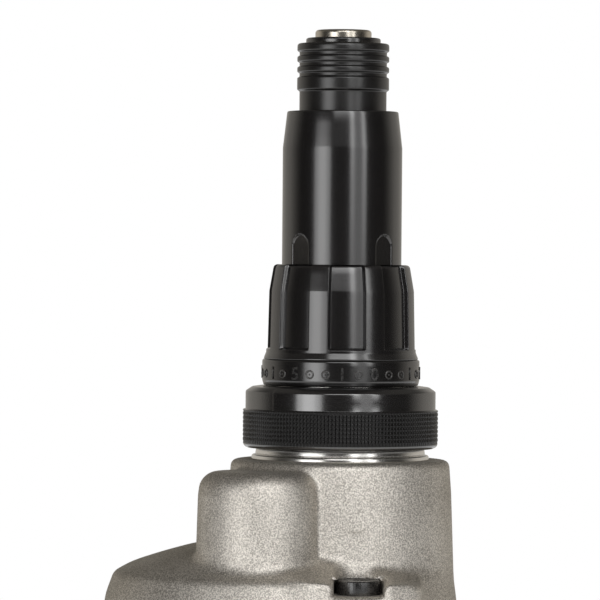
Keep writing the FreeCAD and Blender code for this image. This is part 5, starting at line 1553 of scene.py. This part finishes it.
@dataclass
class Studio:
    """A pale studio: two upright softboxes in front, one overhead, a white backdrop and a pale floor.

    A softbox in front has a narrow core inside a wide rim, and its pairs are for the core and the rim.
    Overhead, backdrop and wall are ranges of a direction, from -1 to 1, and floor_fade is a range of
    distance. A glow is a brightness, where 1 is white.
    """

    eye: Place = (-7.65, -850.0, 247.0)
    aim: Place = (-7.65, 0.0, 238.4)
    roll: float = 0.46
    width: float = 111.0
    clip: float = 10.0
    lamp_reach: float = 1100.0
    lamp_widths: Pair = (300.0, 620.0)
    left_turn: float = -39.0
    left_feet: Pair = (20.0, 20.0)
    left_top: float = 530.0
    left_glow: Pair = (2.8, 1.9)
    right_turn: float = 30.5
    right_feet: Pair = (100.0, 250.0)
    right_top: float = 1600.0
    right_glow: Pair = (0.8, 2.8)
    top_turn: float = 2.0
    top_height: float = 930.0
    top_size: Pair = (900.0, 500.0)
    top_glow: float = 2.2
    overhead: Pair = (0.25, 0.6)
    overhead_glow: float = 0.1
    backdrop: Pair = (-0.1, 0.6)
    backdrop_glow: Pair = (0.03, 0.52)
    wall: Pair = (0.0, 0.9)
    wall_glow: Pair = (0.3, 0.9)
    room_tint: str = "#fff9ef"
    white: str = "#ffffff"
    paper: str = "#eeeeec"
    floor_radius: float = 1300.0
    floor_sides: int = 96
    floor_drop: float = 0.2
    floor_fade: Pair = (300.0, 800.0)
    floor_glow: float = 0.5

    def camera(self) -> None:
        """Stand the camera where the photograph was taken from."""
        eye, aim = Vector(self.eye) * MM, Vector(self.aim) * MM
        lens = bpy.data.cameras.new("camera")
        lens.sensor_fit = "HORIZONTAL"
        lens.angle = 2 * math.atan(self.width * MM / 2 / (aim - eye).length)
        lens.clip_start = self.clip * MM
        made = show("camera", lens)
        turn = (aim - eye).to_track_quat("-Z", "Y").to_matrix().to_4x4()
        made.matrix_world = Matrix.Translation(eye) @ turn @ Matrix.Rotation(math.radians(self.roll), 4, "Z")
        bpy.context.scene.camera = made

    def lamp(self, name: str, turn: float, height: float, size: Pair, glow: float, aim: float) -> None:
        """Hang a softbox in front of the tool.

        Args:
            name: Name of the lamp.
            turn: Its angle from the camera's side, in degrees to the right.
            height: Height of its middle.
            size: Its width and its own height.
            glow: Its brightness, where 1 is white.
            aim: Height of the point on the axis that it faces.
        """
        data = bpy.data.lights.new(name, "AREA")
        data.shape = "RECTANGLE"
        data.size, data.size_y = (side * MM for side in size)
        data.energy = glow * math.pi * data.size * data.size_y
        angle = math.radians(turn)
        spot = Vector((math.sin(angle) * self.lamp_reach, -math.cos(angle) * self.lamp_reach, height)) * MM
        facing = (Vector((0.0, 0.0, aim)) * MM - spot).to_track_quat("-Z", "Y").to_matrix().to_4x4()
        show(name, data).matrix_world = Matrix.Translation(spot) @ facing

    def world(self) -> None:
        """Fill the room: white to the eye, white behind the tool in reflections, soft elsewhere."""
        world = bpy.data.worlds.new("studio")
        bpy.context.scene.world = world
        tree = blank(world)
        eye, shiny = rays(tree)
        facing = out(tree, "ShaderNodeTexCoord", socket="Generated")
        way = add(tree, "ShaderNodeSeparateXYZ", {0: facing}).outputs
        overhead = remap(tree, way["Z"], *self.overhead, soft=True)
        mirrored = remap(tree, way["Y"], *self.backdrop, *self.backdrop_glow, soft=True)
        mirrored = mix(tree, overhead, mirrored, self.overhead_glow)
        wall = remap(tree, way["Y"], *self.wall, *self.wall_glow, soft=True)
        strength = mix(tree, eye, mix(tree, shiny, wall, mirrored), 1.0)
        colour = tint(tree, eye, linear(self.room_tint), linear(self.white))
        back = out(tree, "ShaderNodeBackground", {"Color": colour, "Strength": strength})
        add(tree, "ShaderNodeOutputWorld", {0: back})

    def paper_material(self) -> bpy.types.Material:
        """Make white paper that keeps the tool's shadow and fades into the backdrop.

        Returns:
            The material.
        """
        material = bpy.data.materials.new("studio_floor_paper")
        tree = blank(material)
        place = out(tree, "ShaderNodeTexCoord", socket="Object")
        reach = out(tree, "ShaderNodeVectorMath", {0: place}, "Value", operation="LENGTH")
        near, far = (edge * MM for edge in self.floor_fade)
        pale = remap(tree, remap(tree, reach, near, far, soft=True), least=self.floor_glow)
        share = calc(tree, "MULTIPLY", pale, calc(tree, "MAXIMUM", *rays(tree)))
        paper = out(tree, "ShaderNodeBsdfDiffuse", {"Color": linear(self.paper)})
        white = out(tree, "ShaderNodeEmission", {"Color": linear(self.white)})
        add(tree, "ShaderNodeOutputMaterial", {
            0: out(tree, "ShaderNodeMixShader", {0: share, 1: paper, 2: white})})
        return material

    def floor(self) -> None:
        """Lay a round pale floor just under the tool."""
        low = min(CAD_BOX[0][2], 0.0) - self.floor_drop * MM
        reach = self.floor_radius * MM
        mesh = bpy.data.meshes.new("studio_floor")
        mesh.from_pydata([(reach * math.cos(turn), reach * math.sin(turn), low)
                          for turn in ring_of(self.floor_sides)], [], [tuple(range(self.floor_sides))])
        mesh.materials.append(self.paper_material())
        show("studio_floor", mesh)

    def build(self) -> None:
        """Set up the camera, the light and the floor."""
        bpy.context.scene.view_settings.view_transform = "Standard"
        self.camera()
        for name, turn, feet, top, glows in (
                ("softbox_left", self.left_turn, self.left_feet, self.left_top, self.left_glow),
                ("softbox_right", self.right_turn, self.right_feet, self.right_top, self.right_glow)):
            for part, width, foot, glow in zip(("core", "rim"), self.lamp_widths, feet, glows):
                middle = (foot + top) / 2
                self.lamp(f"{name}_{part}", turn, middle, (width, top - foot), glow, middle)
        self.lamp("softbox_top", self.top_turn, self.top_height, self.top_size, self.top_glow, self.aim[2])
        self.world()
        self.floor()


def main() -> None:
    """Dress the tool piece by piece."""
    logging.basicConfig(level=logging.INFO, format="%(name)s %(message)s")
    Studio().build()
    CarriedNodes().dress()
    clutch = Coil("clutch_spring", "housing", "spindle_push", wire=0.8, turns=4.0, fixed=195.3)
    chuck = Coil("chuck_spring", "spindle_body", "chuck_release", wire=0.7, turns=4.5, fixed=267.0)
    case = GearCase()
    for assembly in (ChuckCollar(), StopSleeve(), AdjustingSleeve(), ScaleRing(), Neck(), LockCollar(),
                     case, CapScrews(case), GripPips(), clutch, chuck):
        assembly.build()


if __name__ == "__main__":
    main()
